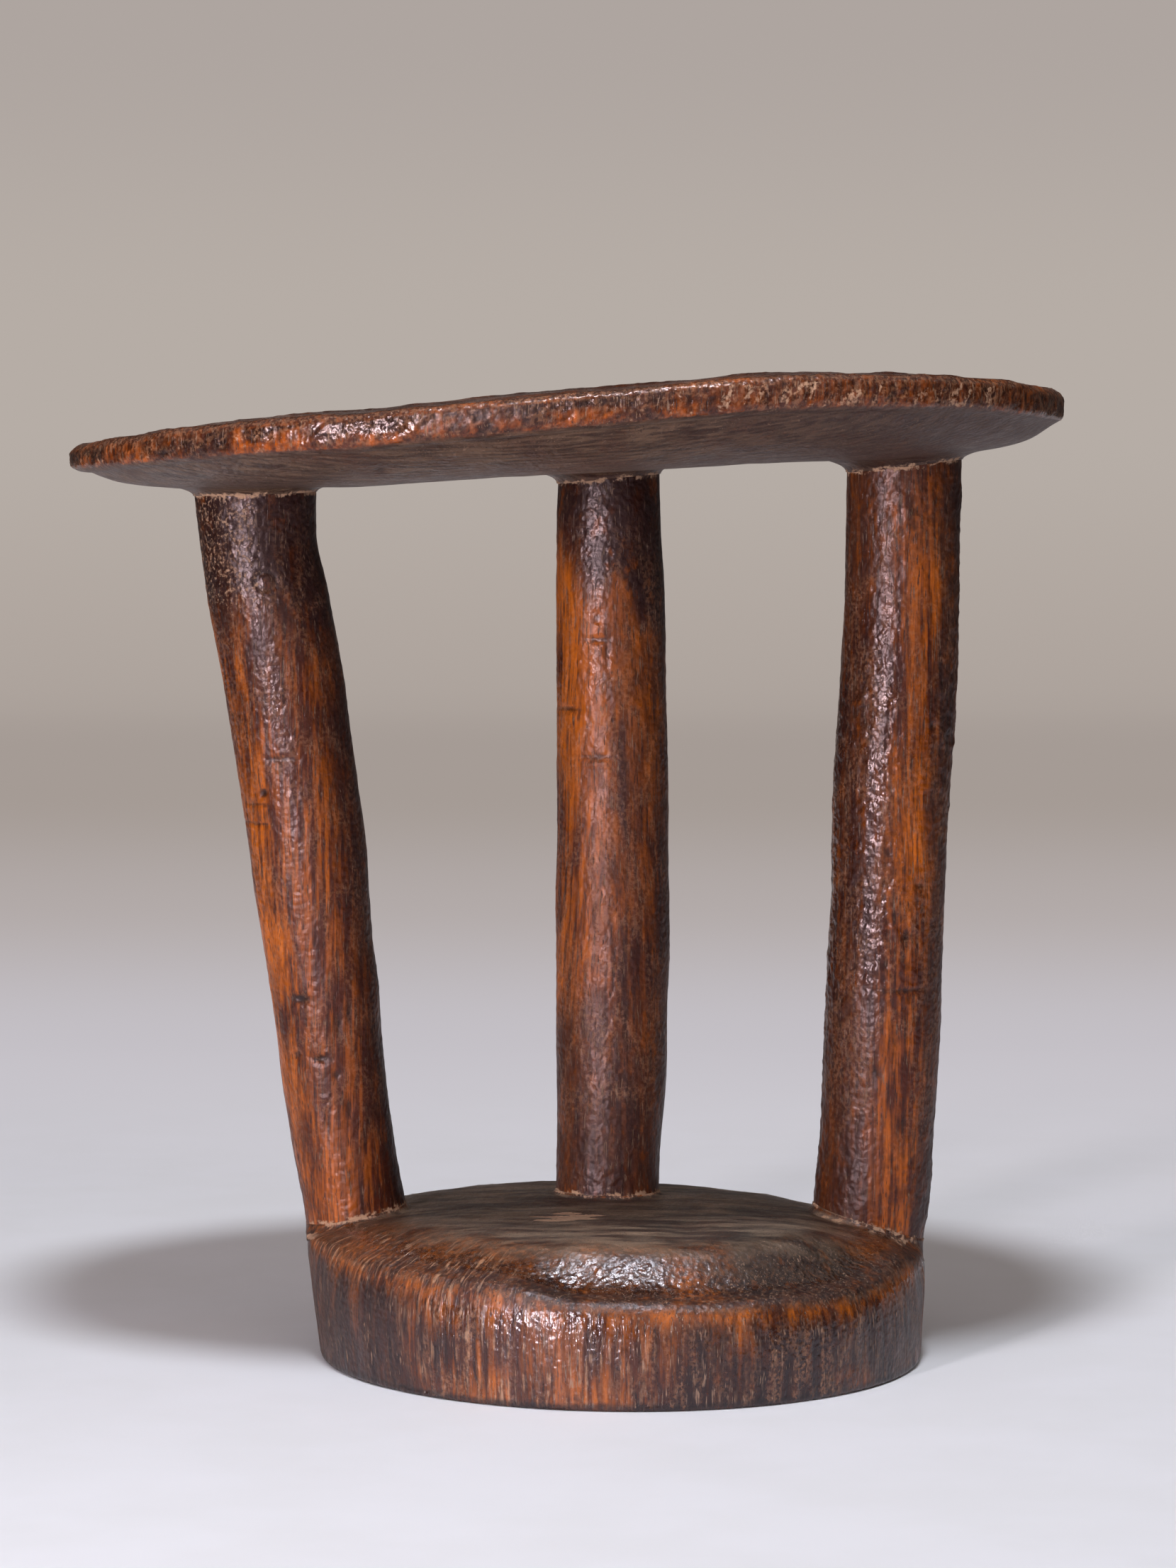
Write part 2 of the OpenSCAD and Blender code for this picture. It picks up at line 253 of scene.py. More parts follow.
def blurred(values, reach, width):
    """Evenly spaced values with their corners softened over a width in steps, up to the reach."""
    weights = np.exp(-0.5 * (np.arange(-reach, reach + 1) / width) ** 2)
    return np.convolve(np.pad(values, reach, mode="edge"), weights / weights.sum(), "valid")


def shoulder_level(share, heights):
    """Height of a side of the dome, with its corners softened."""
    fine = np.linspace(-0.1, 1.1, 481)
    return np.interp(share, fine, blurred(np.interp(fine, SHOULDER_AT, heights), 24, 7.0))


def dome_level(a, share):
    """Height of the domed top at a share of the way out."""
    power = DOME_POWER + FRONT_FULL * np.maximum(0, -np.sin(a))
    level = wall_top(a) + (CROWN_H - wall_top(a)) * (1 - share ** power) ** DOME_EDGE
    degrees = (np.degrees(a) + 180) % 360 - 180
    middle = ease(degrees, *FRONT_START)
    left = ease(degrees, *LEFT_START) * (1 - middle)
    front = middle * (1 - ease(degrees, *FRONT_END))
    lift = (wall_top(a) - LEDGE_Z) * ease(share, 0.7, 1.0)
    level += left * (shoulder_level(share, LEFT_Z) + lift - level)
    return level + front * (shoulder_level(share, SHOULDER_Z) + lift - level)


def dome_at(x, y):
    """Height of the domed top at a place on the plan."""
    a = np.arctan2(y, x)
    return dome_level(a, np.minimum(1, np.hypot(x, y) / edge_reach(a)))


def slope(level, x, y):
    """Slope of a surface along X and along Y."""
    step = 0.5
    return np.array([(level(x + step, y) - level(x - step, y)),
                     (level(x, y + step) - level(x, y - step))]) / (2 * step)


class Post:
    """A post: its edges at heights as seen from the front, its depth, and its two shoulders."""

    def __init__(self, name, edges, foot, head, bow, drop, cant):
        self.name = name
        table = np.array(edges, float)
        step = 0.5
        self.levels = np.arange(0.0, 260.0, step)
        self.left, self.right = (
            blurred(np.interp(self.levels, table[:, 0], table[:, side]), 16, 2.6 / step)
            for side in (1, 2))
        self.foot, self.head, self.bow = foot, head, bow
        foot_slope = slope(dome_at, *foot)
        head_slope = slope(belly_level, *head) + np.array([math.tan(math.radians(cant)), 0])
        self.foot_plane = (float(dome_at(*foot)) + FOOT_LAND, foot_slope)
        self.head_plane = (float(belly_level(*head)) - drop, head_slope)

    def foot_level(self, x, y):
        level, tilt = self.foot_plane
        return level + tilt[0] * (x - self.foot[0]) + tilt[1] * (y - self.foot[1])

    def head_level(self, x, y):
        level, tilt = self.head_plane
        return level + tilt[0] * (x - self.head[0]) + tilt[1] * (y - self.head[1])

    def middle(self, z):
        """Middle of the post at a height, and half its width."""
        left, right = np.interp(z, self.levels, self.left), np.interp(z, self.levels, self.right)
        low, high = self.foot_plane[0], self.head_plane[0]
        t = np.clip((z - low) / (high - low), 0, 1)
        y = self.foot[1] + (self.head[1] - self.foot[1]) * t + self.bow * np.sin(math.pi * t)
        return (left + right) / 2, y, (right - left) / 2

    def outline(self, z, a, spread=0.0):
        """Places round the post at a height."""
        x, y, half = self.middle(z)
        return x + (half + spread) * np.cos(a), y + (half * POST_DEPTH + spread) * np.sin(a)

    def on_plane(self, plane, a, spread=0.0):
        """Places round the post where it crosses one of its shoulders."""
        z = np.full(np.shape(a), plane[0])
        level = self.foot_level if plane is self.foot_plane else self.head_level
        for _ in range(4):
            x, y = self.outline(z, a, spread)
            z = level(x, y)
        return x, y, z

    def beside(self, points):
        """Distance of points from the side of the post, on the plan."""
        x, y, half = self.middle(points[:, 2])
        return np.hypot(points[:, 0] - x, (points[:, 1] - y) / POST_DEPTH) - half


LEFT = Post(
    "left_post",
    [(24.0, -72.9, -48.4), (33.4, -74.1, -50.1), (40.2, -75.5, -51.5), (47.0, -76.6, -52.6),
     (53.7, -77.5, -53.7), (60.4, -78.8, -54.5), (73.9, -80.2, -55.7), (87.3, -82.0, -56.3),
     (94.0, -83.1, -57.6), (107.3, -85.4, -58.5), (120.7, -87.0, -59.5), (134.0, -88.9, -61.4),
     (147.2, -90.8, -63.0), (160.5, -92.9, -64.6), (173.7, -95.6, -66.9), (180.3, -96.4, -68.2),
     (186.9, -97.4, -70.2), (193.5, -98.2, -70.8), (200.0, -99.0, -70.6)],
    foot=(-61.75, 8.7), head=(-84.7, 9.0), bow=-1.2, drop=1.5, cant=0)
REAR = Post(
    "rear_post",
    [(33.0, -15.0, 9.4), (44.7, -15.0, 9.7), (51.4, -14.9, 10.4), (64.8, -14.9, 11.4),
     (78.3, -14.9, 11.4), (91.7, -14.9, 11.9), (105.2, -15.0, 12.0), (118.6, -14.7, 11.7),
     (145.5, -14.7, 11.4), (165.7, -14.9, 11.0), (179.1, -14.9, 10.7), (185.8, -14.7, 10.2),
     (192.5, -14.7, 9.8), (202.6, -14.4, 9.5)],
    foot=(-1.9, 21.6), head=(-2.4, 32.0), bow=1.4, drop=2.7, cant=2)
RIGHT = Post(
    "right_post",
    [(22.0, 44.8, 70.9), (33.3, 45.6, 72.7), (40.1, 46.2, 73.4), (46.9, 46.9, 73.5),
     (53.6, 47.3, 73.8), (60.4, 47.6, 74.4), (73.8, 47.9, 75.2), (87.2, 48.5, 75.4),
     (100.6, 49.1, 75.8), (107.3, 49.6, 76.1), (120.6, 49.5, 76.5), (133.9, 49.8, 77.3),
     (147.2, 50.7, 78.2), (160.4, 51.5, 78.8), (173.7, 52.3, 79.0), (186.9, 52.6, 79.0),
     (206.6, 52.8, 79.4)],
    foot=(58.6, 9.3), head=(66.2, 9.0), bow=-1.0, drop=1.6, cant=4)
POSTS = [LEFT, REAR, RIGHT]


# Meshes

def placed(name, data):
    """A new object in the scene."""
    obj = bpy.data.objects.new(name, data)
    bpy.context.scene.collection.objects.link(obj)
    return obj


def make_object(name, points, faces):
    """A mesh object from points in millimetres."""
    mesh = bpy.data.meshes.new(name)
    mesh.from_pydata([], [], [])
    mesh.vertices.add(len(points))
    mesh.vertices.foreach_set("co", (np.asarray(points) * MM).astype(np.float32).ravel())
    sizes = np.array([len(f) for f in faces])
    mesh.loops.add(int(sizes.sum()))
    mesh.loops.foreach_set("vertex_index", np.concatenate(faces).astype(np.int32))
    mesh.polygons.add(len(faces))
    mesh.polygons.foreach_set("loop_start", (np.cumsum(sizes) - sizes).astype(np.int32))
    mesh.update(calc_edges=True)
    mesh.validate()
    return placed(name, mesh)


def ring_faces(start, count, rows, inside_out=False):
    """Quads over rows of rings of equal count, whose first point is number start."""
    k, i = np.meshgrid(np.arange(rows - 1), np.arange(count), indexing="ij")
    a = start + k * count + i
    b = start + k * count + (i + 1) % count
    quads = np.stack([a, b, b + count, a + count], -1).reshape(-1, 4)
    return quads[:, ::-1] if inside_out else quads


def loft(rings):
    """A closed skin over rings from bottom to top, counterclockwise from above, with flat ends."""
    count = len(rings[0])
    points = np.concatenate(rings)
    faces = list(ring_faces(0, count, len(rings)))
    faces.append(np.arange(count)[::-1])
    faces.append(np.arange(count) + (len(rings) - 1) * count)
    return points, faces


def disc(n):
    """A round grid made from a square one: shares out, directions, quads and the edge loop."""
    line = np.linspace(-1, 1, n + 1)
    x, y = np.meshgrid(line, line, indexing="ij")
    share = np.maximum(np.abs(x), np.abs(y))
    safe = np.where(share == 0, 1, share)
    wide = np.abs(x) >= np.abs(y)
    a = np.where(wide, math.pi / 4 * y / safe * np.sign(np.where(x == 0, 1, x)),
                 math.pi / 2 - math.pi / 4 * x / safe * np.sign(np.where(y == 0, 1, y)))
    a = np.where(wide & (x < 0), a + math.pi, a)
    a = np.where(~wide & (y < 0), a + math.pi, a)
    number = np.arange((n + 1) ** 2).reshape(n + 1, n + 1)
    quads = np.stack([number[:-1, :-1], number[1:, :-1], number[1:, 1:], number[:-1, 1:]],
                     -1).reshape(-1, 4)
    loop = np.concatenate([number[-1, :-1], number[::-1, -1][:-1], number[0, ::-1][:-1],
                           number[:-1, 0]])
    return share.ravel(), a.ravel(), quads, loop


def capped(top_grid, rings, bottom_grid, n):
    """Points and faces of a round solid: a top grid, rings from top to bottom, and a bottom grid."""
    share, a, quads, loop = disc(n)
    count = len(loop)
    edge_angles = a[loop]
    top = top_grid(share, a)
    middle = [ring(edge_angles) for ring in rings]
    bottom = bottom_grid(share, a)
    points = np.concatenate([top] + middle + [bottom])
    n_top, n_middle = len(top), count * len(middle)
    faces = [quads]
    faces.append(ring_faces(n_top, count, len(middle), inside_out=True))
    first = n_top + np.arange(count)
    after = np.roll(np.arange(count), -1)
    faces.append(np.stack([loop, loop[after], first[after], first], -1)[:, ::-1])
    last = n_top + n_middle - count + np.arange(count)
    low = n_top + n_middle + loop
    faces.append(np.stack([last, last[after], low[after], low], -1)[:, ::-1])
    faces.append(quads[:, ::-1] + n_top + n_middle)
    return points, list(np.concatenate(faces))


def stack(x, y, z):
    return np.stack([x, y, z], -1)


def polar(r, a, z):
    """Places at a distance from the middle of the base in a direction, at a height."""
    return stack(r * np.cos(a), r * np.sin(a), np.broadcast_to(z, np.shape(a)))


def seat_points(a, out, drop):
    """Places on the seat: a distance out in a direction, and a drop below the rim level."""
    u, v = out * np.cos(a), out * np.sin(a)
    return stack(SEAT_X + u, SEAT_Y + v, rim_level(u, v) - drop)


def seat_shape():
    """The oval seat without its collars."""
    def hollow(share, a):
        return seat_points(a, share * (seat_reach(a) - RIM_ROUND - 0.7), DISH_T * (1 - share ** 2))

    def under(share, a):
        out = share * under_reach(a)
        return seat_points(a, out, rim_band(a, share) + belly(out * np.cos(a), share))

    def upper_edge(turn):
        return lambda a: seat_points(
            a, seat_reach(a) - RIM_ROUND * (1 - math.sin(turn)), RIM_ROUND * (1 - math.cos(turn)))

    def band(t):
        return lambda a: seat_points(
            a, seat_reach(a), RIM_ROUND + (rim_band(a, 1) - 2 * RIM_ROUND) * t)

    def lower_edge(turn):
        return lambda a: seat_points(
            a, seat_reach(a) - RIM_ROUND * (1 - math.cos(turn)),
            rim_band(a, 1) - RIM_ROUND * (1 - math.sin(turn)))

    def rounded(ring):
        """The band swells at its middle and leans in towards both of its edges."""
        def bent(a):
            points = ring(a)
            u, v = points[:, 0] - SEAT_X, points[:, 1] - SEAT_Y
            drop = rim_level(u, v) - points[:, 2]
            t = np.clip(2 * drop / rim_band(a, 1) - 2 * FULLEST, -1.2, 1.2)
            tip = turned(a, 0, TIP_WIDE)
            lean = np.where(t > 0, LEAN_LOW[0] - LEAN_LOW[1] * tip, LEAN_HIGH[0] - LEAN_HIGH[1] * tip)
            lean = lean * np.abs(t) ** LEAN_POWER + TIP_IN * tip
            out = np.hypot(u, v)
            keep = 1 - lean / out
            return stack(SEAT_X + u * keep, SEAT_Y + v * keep, points[:, 2])
        return bent

    turns = np.linspace(0, math.pi / 2, 7)[1:]
    rings = [upper_edge(t) for t in turns]
    rings += [band(t) for t in np.linspace(0, 1, 12)[1:-1]]
    rings += [lower_edge(t) for t in np.linspace(0, math.pi / 2, 7)[:-1]]
    return capped(hollow, [rounded(ring) for ring in rings], under, SEAT_CELLS)


def base_shape():
    """The domed puck without its collars."""
    def top(share, a):
        out = share * (1 - EDGE_IN * edge_softness(a))
        return polar(out * edge_reach(a), a, dome_level(a, out))

    def softened(t):
        """The rounded edge between the dome and the wall."""
        def ring(a):
            out = 1 - EDGE_IN * edge_softness(a)
            low = 1 - EDGE_DOWN * edge_softness(a)
            reach, height = edge_reach(a), wall_top(a)
            r0, z0 = out * reach, dome_level(a, out)
            r2 = floor_reach(a) + (reach - floor_reach(a)) * low
            z2 = height * low + FLOOR_ROUND * (1 - low)
            r1, z1 = reach, height + 0.4 * (z0 - height)
            r = (1 - t) ** 2 * r0 + 2 * t * (1 - t) * r1 + t ** 2 * r2
            z = (1 - t) ** 2 * z0 + 2 * t * (1 - t) * z1 + t ** 2 * z2
            return polar(r, a, z)
        return ring

    def wall(part):
        def ring(a):
            t = part * (1 - EDGE_DOWN * edge_softness(a))
            r = floor_reach(a) + (edge_reach(a) - floor_reach(a)) * t
            return polar(r, a, wall_top(a) * t + FLOOR_ROUND * (1 - t))
        return ring

    def foot(turn):
        def ring(a):
            r = floor_reach(a) - FLOOR_ROUND * (1 - math.cos(turn))
            return polar(r, a, FLOOR_ROUND * (1 - math.sin(turn)))
        return ring

    def underside(share, a):
        return polar(share * (floor_reach(a) - FLOOR_ROUND - 0.4), a, 0.0)

    rings = [softened(t) for t in np.linspace(0, 1, 22)[1:]]
    rings += [wall(t) for t in np.linspace(1, 0, 40)[1:-1]]
    rings += [foot(t) for t in np.linspace(0, math.pi / 2, 4)]
    return capped(top, rings, underside, BASE_CELLS)


# Directions of the points of a collar
ROUND = np.linspace(0, 2 * math.pi, 128, endpoint=False)


def head_collar(post):
    """The flare under the seat round the head of a post."""
    rings = []
    for turn in np.linspace(0, math.pi / 2, 12):
        spread = 0.3 + HEAD_FLARE * (1 - math.cos(turn))
        x, y, land = post.on_plane(post.head_plane, ROUND, spread)
        inside = belly_level(x, y, under_reach) + FLARE_BITE
        rings.append(stack(x, y, land + math.sin(turn) * (inside - land)))
    return loft(rings)


def foot_collar(post):
    """The flare on the dome round the foot of a post."""
    rings = []
    for turn in np.linspace(math.pi / 2, 0, 10):
        x, y, _ = post.on_plane(post.foot_plane, ROUND, 0.2 + FOOT_FLARE * (1 - math.cos(turn)))
        a, r = np.arctan2(y, x), np.hypot(x, y)
        kept = np.minimum(1, (edge_reach(a) - 0.15) / r)
        x = x * (1 + (kept - 1) * math.sin(turn))
        y = y * (1 + (kept - 1) * math.sin(turn))
        land = post.foot_level(x, y)
        rings.append(stack(x, y, land - math.sin(turn) * (land + FLARE_BITE - dome_at(x, y))))
    return loft(rings)


def post_shape(post):
    """A post between its shoulders, let into its neighbours by a little at each end."""
    a = np.linspace(0, 2 * math.pi, POST_ROUND, endpoint=False)
    rings = []
    _, _, low = post.on_plane(post.foot_plane, a)
    _, _, high = post.on_plane(post.head_plane, a)
    low, high = low - LET_IN, high + LET_IN
    for t in np.linspace(0, 1, POST_ROWS):
        z = low + (high - low) * t
        x, y = post.outline(z, a)
        rings.append(stack(x, y, z))
    return loft(rings)


def union(body, others):
    """Adds closed solids to a body and removes their objects."""
    for other in others:
        modifier = body.modifiers.new("union", "BOOLEAN")
        modifier.operation = "UNION"
        modifier.solver = "MANIFOLD"
        modifier.object = other
    bpy.context.view_layer.update()
    evaluated = body.evaluated_get(bpy.context.evaluated_depsgraph_get())
    joined = bpy.data.meshes.new_from_object(evaluated)
    body.modifiers.clear()
    old = body.data
    body.data = joined
    bpy.data.meshes.remove(old)
    for other in others:
        mesh = other.data
        bpy.data.objects.remove(other)
        bpy.data.meshes.remove(mesh)


def points_of(obj):
    co = np.zeros(len(obj.data.vertices) * 3, np.float32)
    obj.data.vertices.foreach_get("co", co)
    return co.reshape(-1, 3).astype(float) / MM


def normals_of(obj):
    n = np.zeros(len(obj.data.vertices) * 3, np.float32)
    obj.data.vertex_normals.foreach_get("vector", n)
    return n.reshape(-1, 3).astype(float)


def set_points(obj, points):
    obj.data.vertices.foreach_set("co", (points * MM).astype(np.float32).ravel())
    obj.data.update()


def neighbour_mean(obj, values):
    """For each vertex, the mean of the values at the vertices that edges join to it."""
    ends = np.zeros(len(obj.data.edges) * 2, np.int32)
    obj.data.edges.foreach_get("vertices", ends)
    ends = ends.reshape(-1, 2)
    total = np.zeros_like(values)
    count = np.zeros(len(values))
    for a, b in ((0, 1), (1, 0)):
        np.add.at(total, ends[:, a], values[ends[:, b]])
        np.add.at(count, ends[:, a], 1)
    return total / np.maximum(count, 1).reshape((-1,) + (1,) * (values.ndim - 1))


def relax(obj, weight, rounds):
    """Softens a surface where the weight is above 0."""
    points = points_of(obj)
    for _ in range(rounds):
        points += weight[:, None] * (neighbour_mean(obj, points) - points)
    set_points(obj, points)


def write(obj, name, values):
    """Keeps a value from 0 to 1 at each vertex, for the material."""
    layer = obj.data.attributes.new(name, "FLOAT", "POINT")
    layer.data.foreach_set("value", np.clip(values, 0, 1).astype(np.float32))


def write_place(obj, name, places):
    """Keeps a place in metres at each vertex, for the material."""
    layer = obj.data.attributes.new(name, "FLOAT_VECTOR", "POINT")
    layer.data.foreach_set("vector", (places * MM).astype(np.float32).ravel())


def shade_smooth(obj):
    obj.data.polygons.foreach_set("use_smooth", np.ones(len(obj.data.polygons), bool))
    obj.data.update()


# Carving: each carve function gives the depth to move along the normal, and the painted values

def patchy(points, size, seed, low, high, octaves=3):
    """Irregular patches: rough noise, eased from 0 to 1 between two of its values."""
    return ease(rough(points, size, seed, octaves), low, high)


def uneven(value, points, size, amount, seed, low, high):
    """An ease over a value, whose border wanders by an amount."""
    return ease(value + amount * bumps(points, size, seed), low, high)


def broken(points, seed):
    """Strength of a broken line of pale dusting that comes and goes."""
    return 0.35 + 0.65 * patchy(points, (2.4, 2.4, 1.2), seed, -0.45, 0.35)


def dents(points, marks):
    """Sum of a list of marks, each with its place, its radii and its depth."""
    return sum(depth * spot(points, place, radii) for place, radii, depth in marks)


def ring_dust(points, plane_level, post, width):
    """How near a point is to the joint line of a post."""
    level = plane_level(points[:, 0], points[:, 1])
    return hump(points[:, 2], level, width) * (1 - ease(np.abs(post.beside(points)), 1.5, 5.0))


# Nicks and pits in the posts
LEFT_NICKS = [
    ((-78.2, -4, 139.7), (3.4, 8, 0.9), 0.50), ((-82.7, -1, 131.8), (1.1, 6, 1.1), 0.9),
    ((-85.0, -1, 124.5), (5.0, 8, 0.4), 0.25), ((-84.0, -1, 129.0), (3.0, 8, 0.4), 0.2),
    ((-74.4, -4, 83.8), (2.4, 6, 1.3), 0.8), ((-69.5, -4, 69.8), (2.2, 6, 0.9), 0.7),
    ((-65.4, -4, 78.0), (1.4, 6, 3.2), 0.5), ((-62.9, -4, 80.3), (0.7, 6, 2.4), 0.4),
    ((-75.5, -4, 70.5), (1.8, 6, 1.4), 0.4), ((-66.0, -4, 66.0), (1.2, 6, 1.4), 0.4),
    ((-68.0, -4, 55.0), (0.7, 6, 4.0), 0.3), ((-63.0, -4, 58.0), (1.0, 6, 2.0), 0.4)]
REAR_NICKS = [
    ((-5.1, 16, 171.2), (1.5, 9, 1.5), 0.4), ((-5, 16, 166.0), (3.0, 9, 0.8), 0.5),
    ((-3.0, 16, 163.5), (0.8, 9, 2.2), 0.4), ((-12.6, 16, 149.4), (2.6, 10, 0.8), 0.7),
    ((-5.5, 14, 136.7), (7.0, 9, 0.8), -0.28), ((-5.5, 14, 138.6), (5.0, 9, 0.7), 0.3),
    ((6.5, 16, 185), (1.6, 9, 3.6), 0.5), ((2.0, 12, 112), (1.4, 8, 3), 0.35)]
RIGHT_NICKS = [
    ((66.7, -3, 98.4), (1.4, 7, 1.6), 0.6), ((66.0, -3, 85.8), (4.4, 7, 0.6), 0.5),
    ((64.0, -3, 74.0), (1.2, 7, 4.5), 0.4), ((59.6, -4, 66.7), (1.6, 7, 1.8), 0.5),
    ((66.2, -3, 55.0), (0.9, 7, 3.0), 0.4), ((72.3, 0, 147.2), (0.8, 7, 0.9), 0.5),
    ((62.0, -3, 118), (1.0, 7, 1.2), 0.35), ((69.5, -3, 110), (1.2, 7, 0.9), 0.4)]
# Darker veins in the rear post
REAR_VEINS = [((7.3, 12, 153), (2.2, 10, 12), 0.8), ((-1, 10, 103), (2.0, 9, 7), 0.8)]
# A turn of the blade at the head of the left post: its middle, its radius and its width
SWIRL_X, SWIRL_Z, SWIRL_R, SWIRL_T = -81.6, 181.0, 2.3, 0.6


def left_look(points, aside, seed):
    """The left post's dark places, gain and lift of warmth, matt places and nicks; its darker right side
    is painted shade.
    """
    x, y, z = points.T
    head = uneven(z + 0.25 * aside, points, (7, 7, 9), 5, seed + 21, 158, 178)
    # The right side of the post is painted darker: painted shade on the side turned from the key lamp.
    shaded_right_side = uneven(aside, points, (6, 6, 16), 2, seed + 24, 5, 12)
    dark = most(head, 0.85 * shaded_right_side, 0.9 * spot(points, (-82, -10, 168), (6, 12, 15)))
    gain = 0.75 + 0.5 * ease(-aside, -4, 10)
    matt = 0.15 + 0.4 * (1 - ease(z, 128, 158)) + 0.25 * ease(z, 150, 165)
    from_swirl = np.hypot(x - SWIRL_X, (z - SWIRL_Z) * 1.1)
    swirl = 0.35 * hump(from_swirl, SWIRL_R, SWIRL_T) * ease(-y, -4, 2)
    return dark, gain, 0.0, most(matt, 0.9 * shaded_right_side), dents(points, LEFT_NICKS) + swirl


def rear_look(points, aside, seed):
    """The rear post's dark places, gain and lift of warmth, matt places and nicks; its darker head is a
    painted shadow of the seat and its darker right half is painted shade.
    """
    z = points[:, 2]
    # The head is painted darker: a painted shadow of the seat above it.
    head = uneven(z + 0.9 * aside, points, (6, 6, 14), 7, seed + 21, 160, 184)
    foot = 1 - uneven(z, points, (6, 6, 16), 8, seed + 22, 70, 100)
    # The right side is painted darker: painted shade on the side turned from the key lamp.
    shaded_right_side = uneven(aside, points, (7, 7, 20), 4, seed + 23, 3, 12)
    veins = np.minimum(0.8, dents(points, REAR_VEINS))
    # From its middle the whole right half is also painted somewhat darker: painted shade.
    dark = most(head, 0.85 * foot, 0.75 * shaded_right_side, 0.30 + 0.35 * ease(aside, -6, 2), veins)
    matt = 0.50 + 0.3 * (1 - ease(z, 130, 160))
    return dark, 1.0, 0.35, most(matt, 0.9 * shaded_right_side), dents(points, REAR_NICKS)


def right_look(points, aside, seed):
    """The right post's dark places, gain and lift of warmth, matt places and nicks; its darker right edge
    is painted shade.
    """
    z = points[:, 2]
    left_side = uneven(-aside, points, (7, 7, 20), 2.5, seed + 21, -2, 5)
    head = uneven(z, points, (6, 6, 10), 8, seed + 22, 180, 205)
    foot = 1 - ease(z, 38, 56)
    # The right edge is painted darker: painted shade on the side turned from the key lamp.
    shaded_right_side = uneven(aside, points, (6, 6, 16), 2, seed + 24, 6.5, 10)
    dark = most(0.8 * left_side, 0.75 * head, 0.7 * foot * left_side, 0.85 * shaded_right_side)
    gain = 0.8 + 0.4 * ease(aside, -2, 8)
    matt = 0.10 + 0.6 * (1 - ease(z, 60, 105)) + 0.4 * ease(z, 150, 185)
    return dark, gain, 0.0, most(matt, 0.9 * shaded_right_side), dents(points, RIGHT_NICKS)


POST_LOOKS = {LEFT: left_look, REAR: rear_look, RIGHT: right_look}


def carve_post(post, points):
    """Long scoops, small dimples and fibres, with the nicks, the dusting, pale ridges partly painted as
    glints, and the dark patina with painted shade.
    """
    x, y, z = points.T
    aside = x - post.middle(z)[0]
    seed = 100 + 40 * POSTS.index(post)
    swell, dimple_t = (0.6, 0.50) if post is RIGHT else (1.0, 0.22)

    scoop, ridge = cuts(points, (7.5, 7.5, 19), seed)
    dimple, dimple_ridge = cuts(points, (2.0, 2.0, 2.5), seed + 7)
    fibre = bumps(points, (0.9, 0.9, 11), seed + 11) + 0.6 * bumps(points, (0.5, 0.5, 6), seed + 12)
    wave = rough(points, (13, 13, 26), seed + 13)
    beaten = 0.35 + 0.65 * patchy(points, (9, 9, 22), seed + 15, -0.35, 0.5, 2)
    dark, gain, lift, matt, chip = POST_LOOKS[post](points, aside, seed)
    near_end = np.minimum(z - post.foot_level(x, y), post.head_level(x, y) - z)
    move = swell * (0.20 * (scoop - 0.42) + 0.24 * wave) + 0.025 * fibre
    move += dimple_t * beaten * (dimple - 0.40) - chip
    move *= 0.35 + 0.65 * ease(near_end, 0.0, 6.0)

    warm = 0.5 + 0.5 * rough(points, (9, 9, 40), seed + 19)
    rings = (0.75 * ring_dust(points, post.head_level, post, 1.0)
             + 0.80 * ring_dust(points, post.foot_level, post, 1.0))
    haze = 0.9 + 0.3 * rough(points, (3, 3, 4), seed + 33, 2)
    dust = most(broken(points, seed + 30) * rings, 0.25 * haze * ease(-near_end, -12, -1))
    if post is LEFT:
        speckle = 0.40 + 0.10 * rough(points, 3.0, seed + 31)
        dust = most(dust, speckle * ease(z, 160, 180) * ease(-aside, -5, 2))
    mid = ease(z, 42, 60) * (1 - ease(z, 180, 200))
    # Pale scoop and dimple ridges are partly abraded wood and partly painted glints.
    return move, {
        "dark": most(0.25 * patchy(points, (8, 8, 22), seed + 17, -0.2, 0.7), dark),
        "warm": warm * gain + lift, "dust": dust, "matt": matt, "pit": ease(chip, 0.15, 0.7),
        "wear": 0.35 * ridge * mid + 0.15 * dimple_ridge * beaten}


# Places where the rim band is scratched pale, along X of the leaning cuts and in height
BAND_SCRATCHES = ((29.6, 225.5), (45.2, 222.4), (50.0, 224.7), (69.8, 224.4), (72.8, 224.7))
# How far the knife cuts of the band lean sideways for each millimetre of height
CUT_LEAN = 0.55


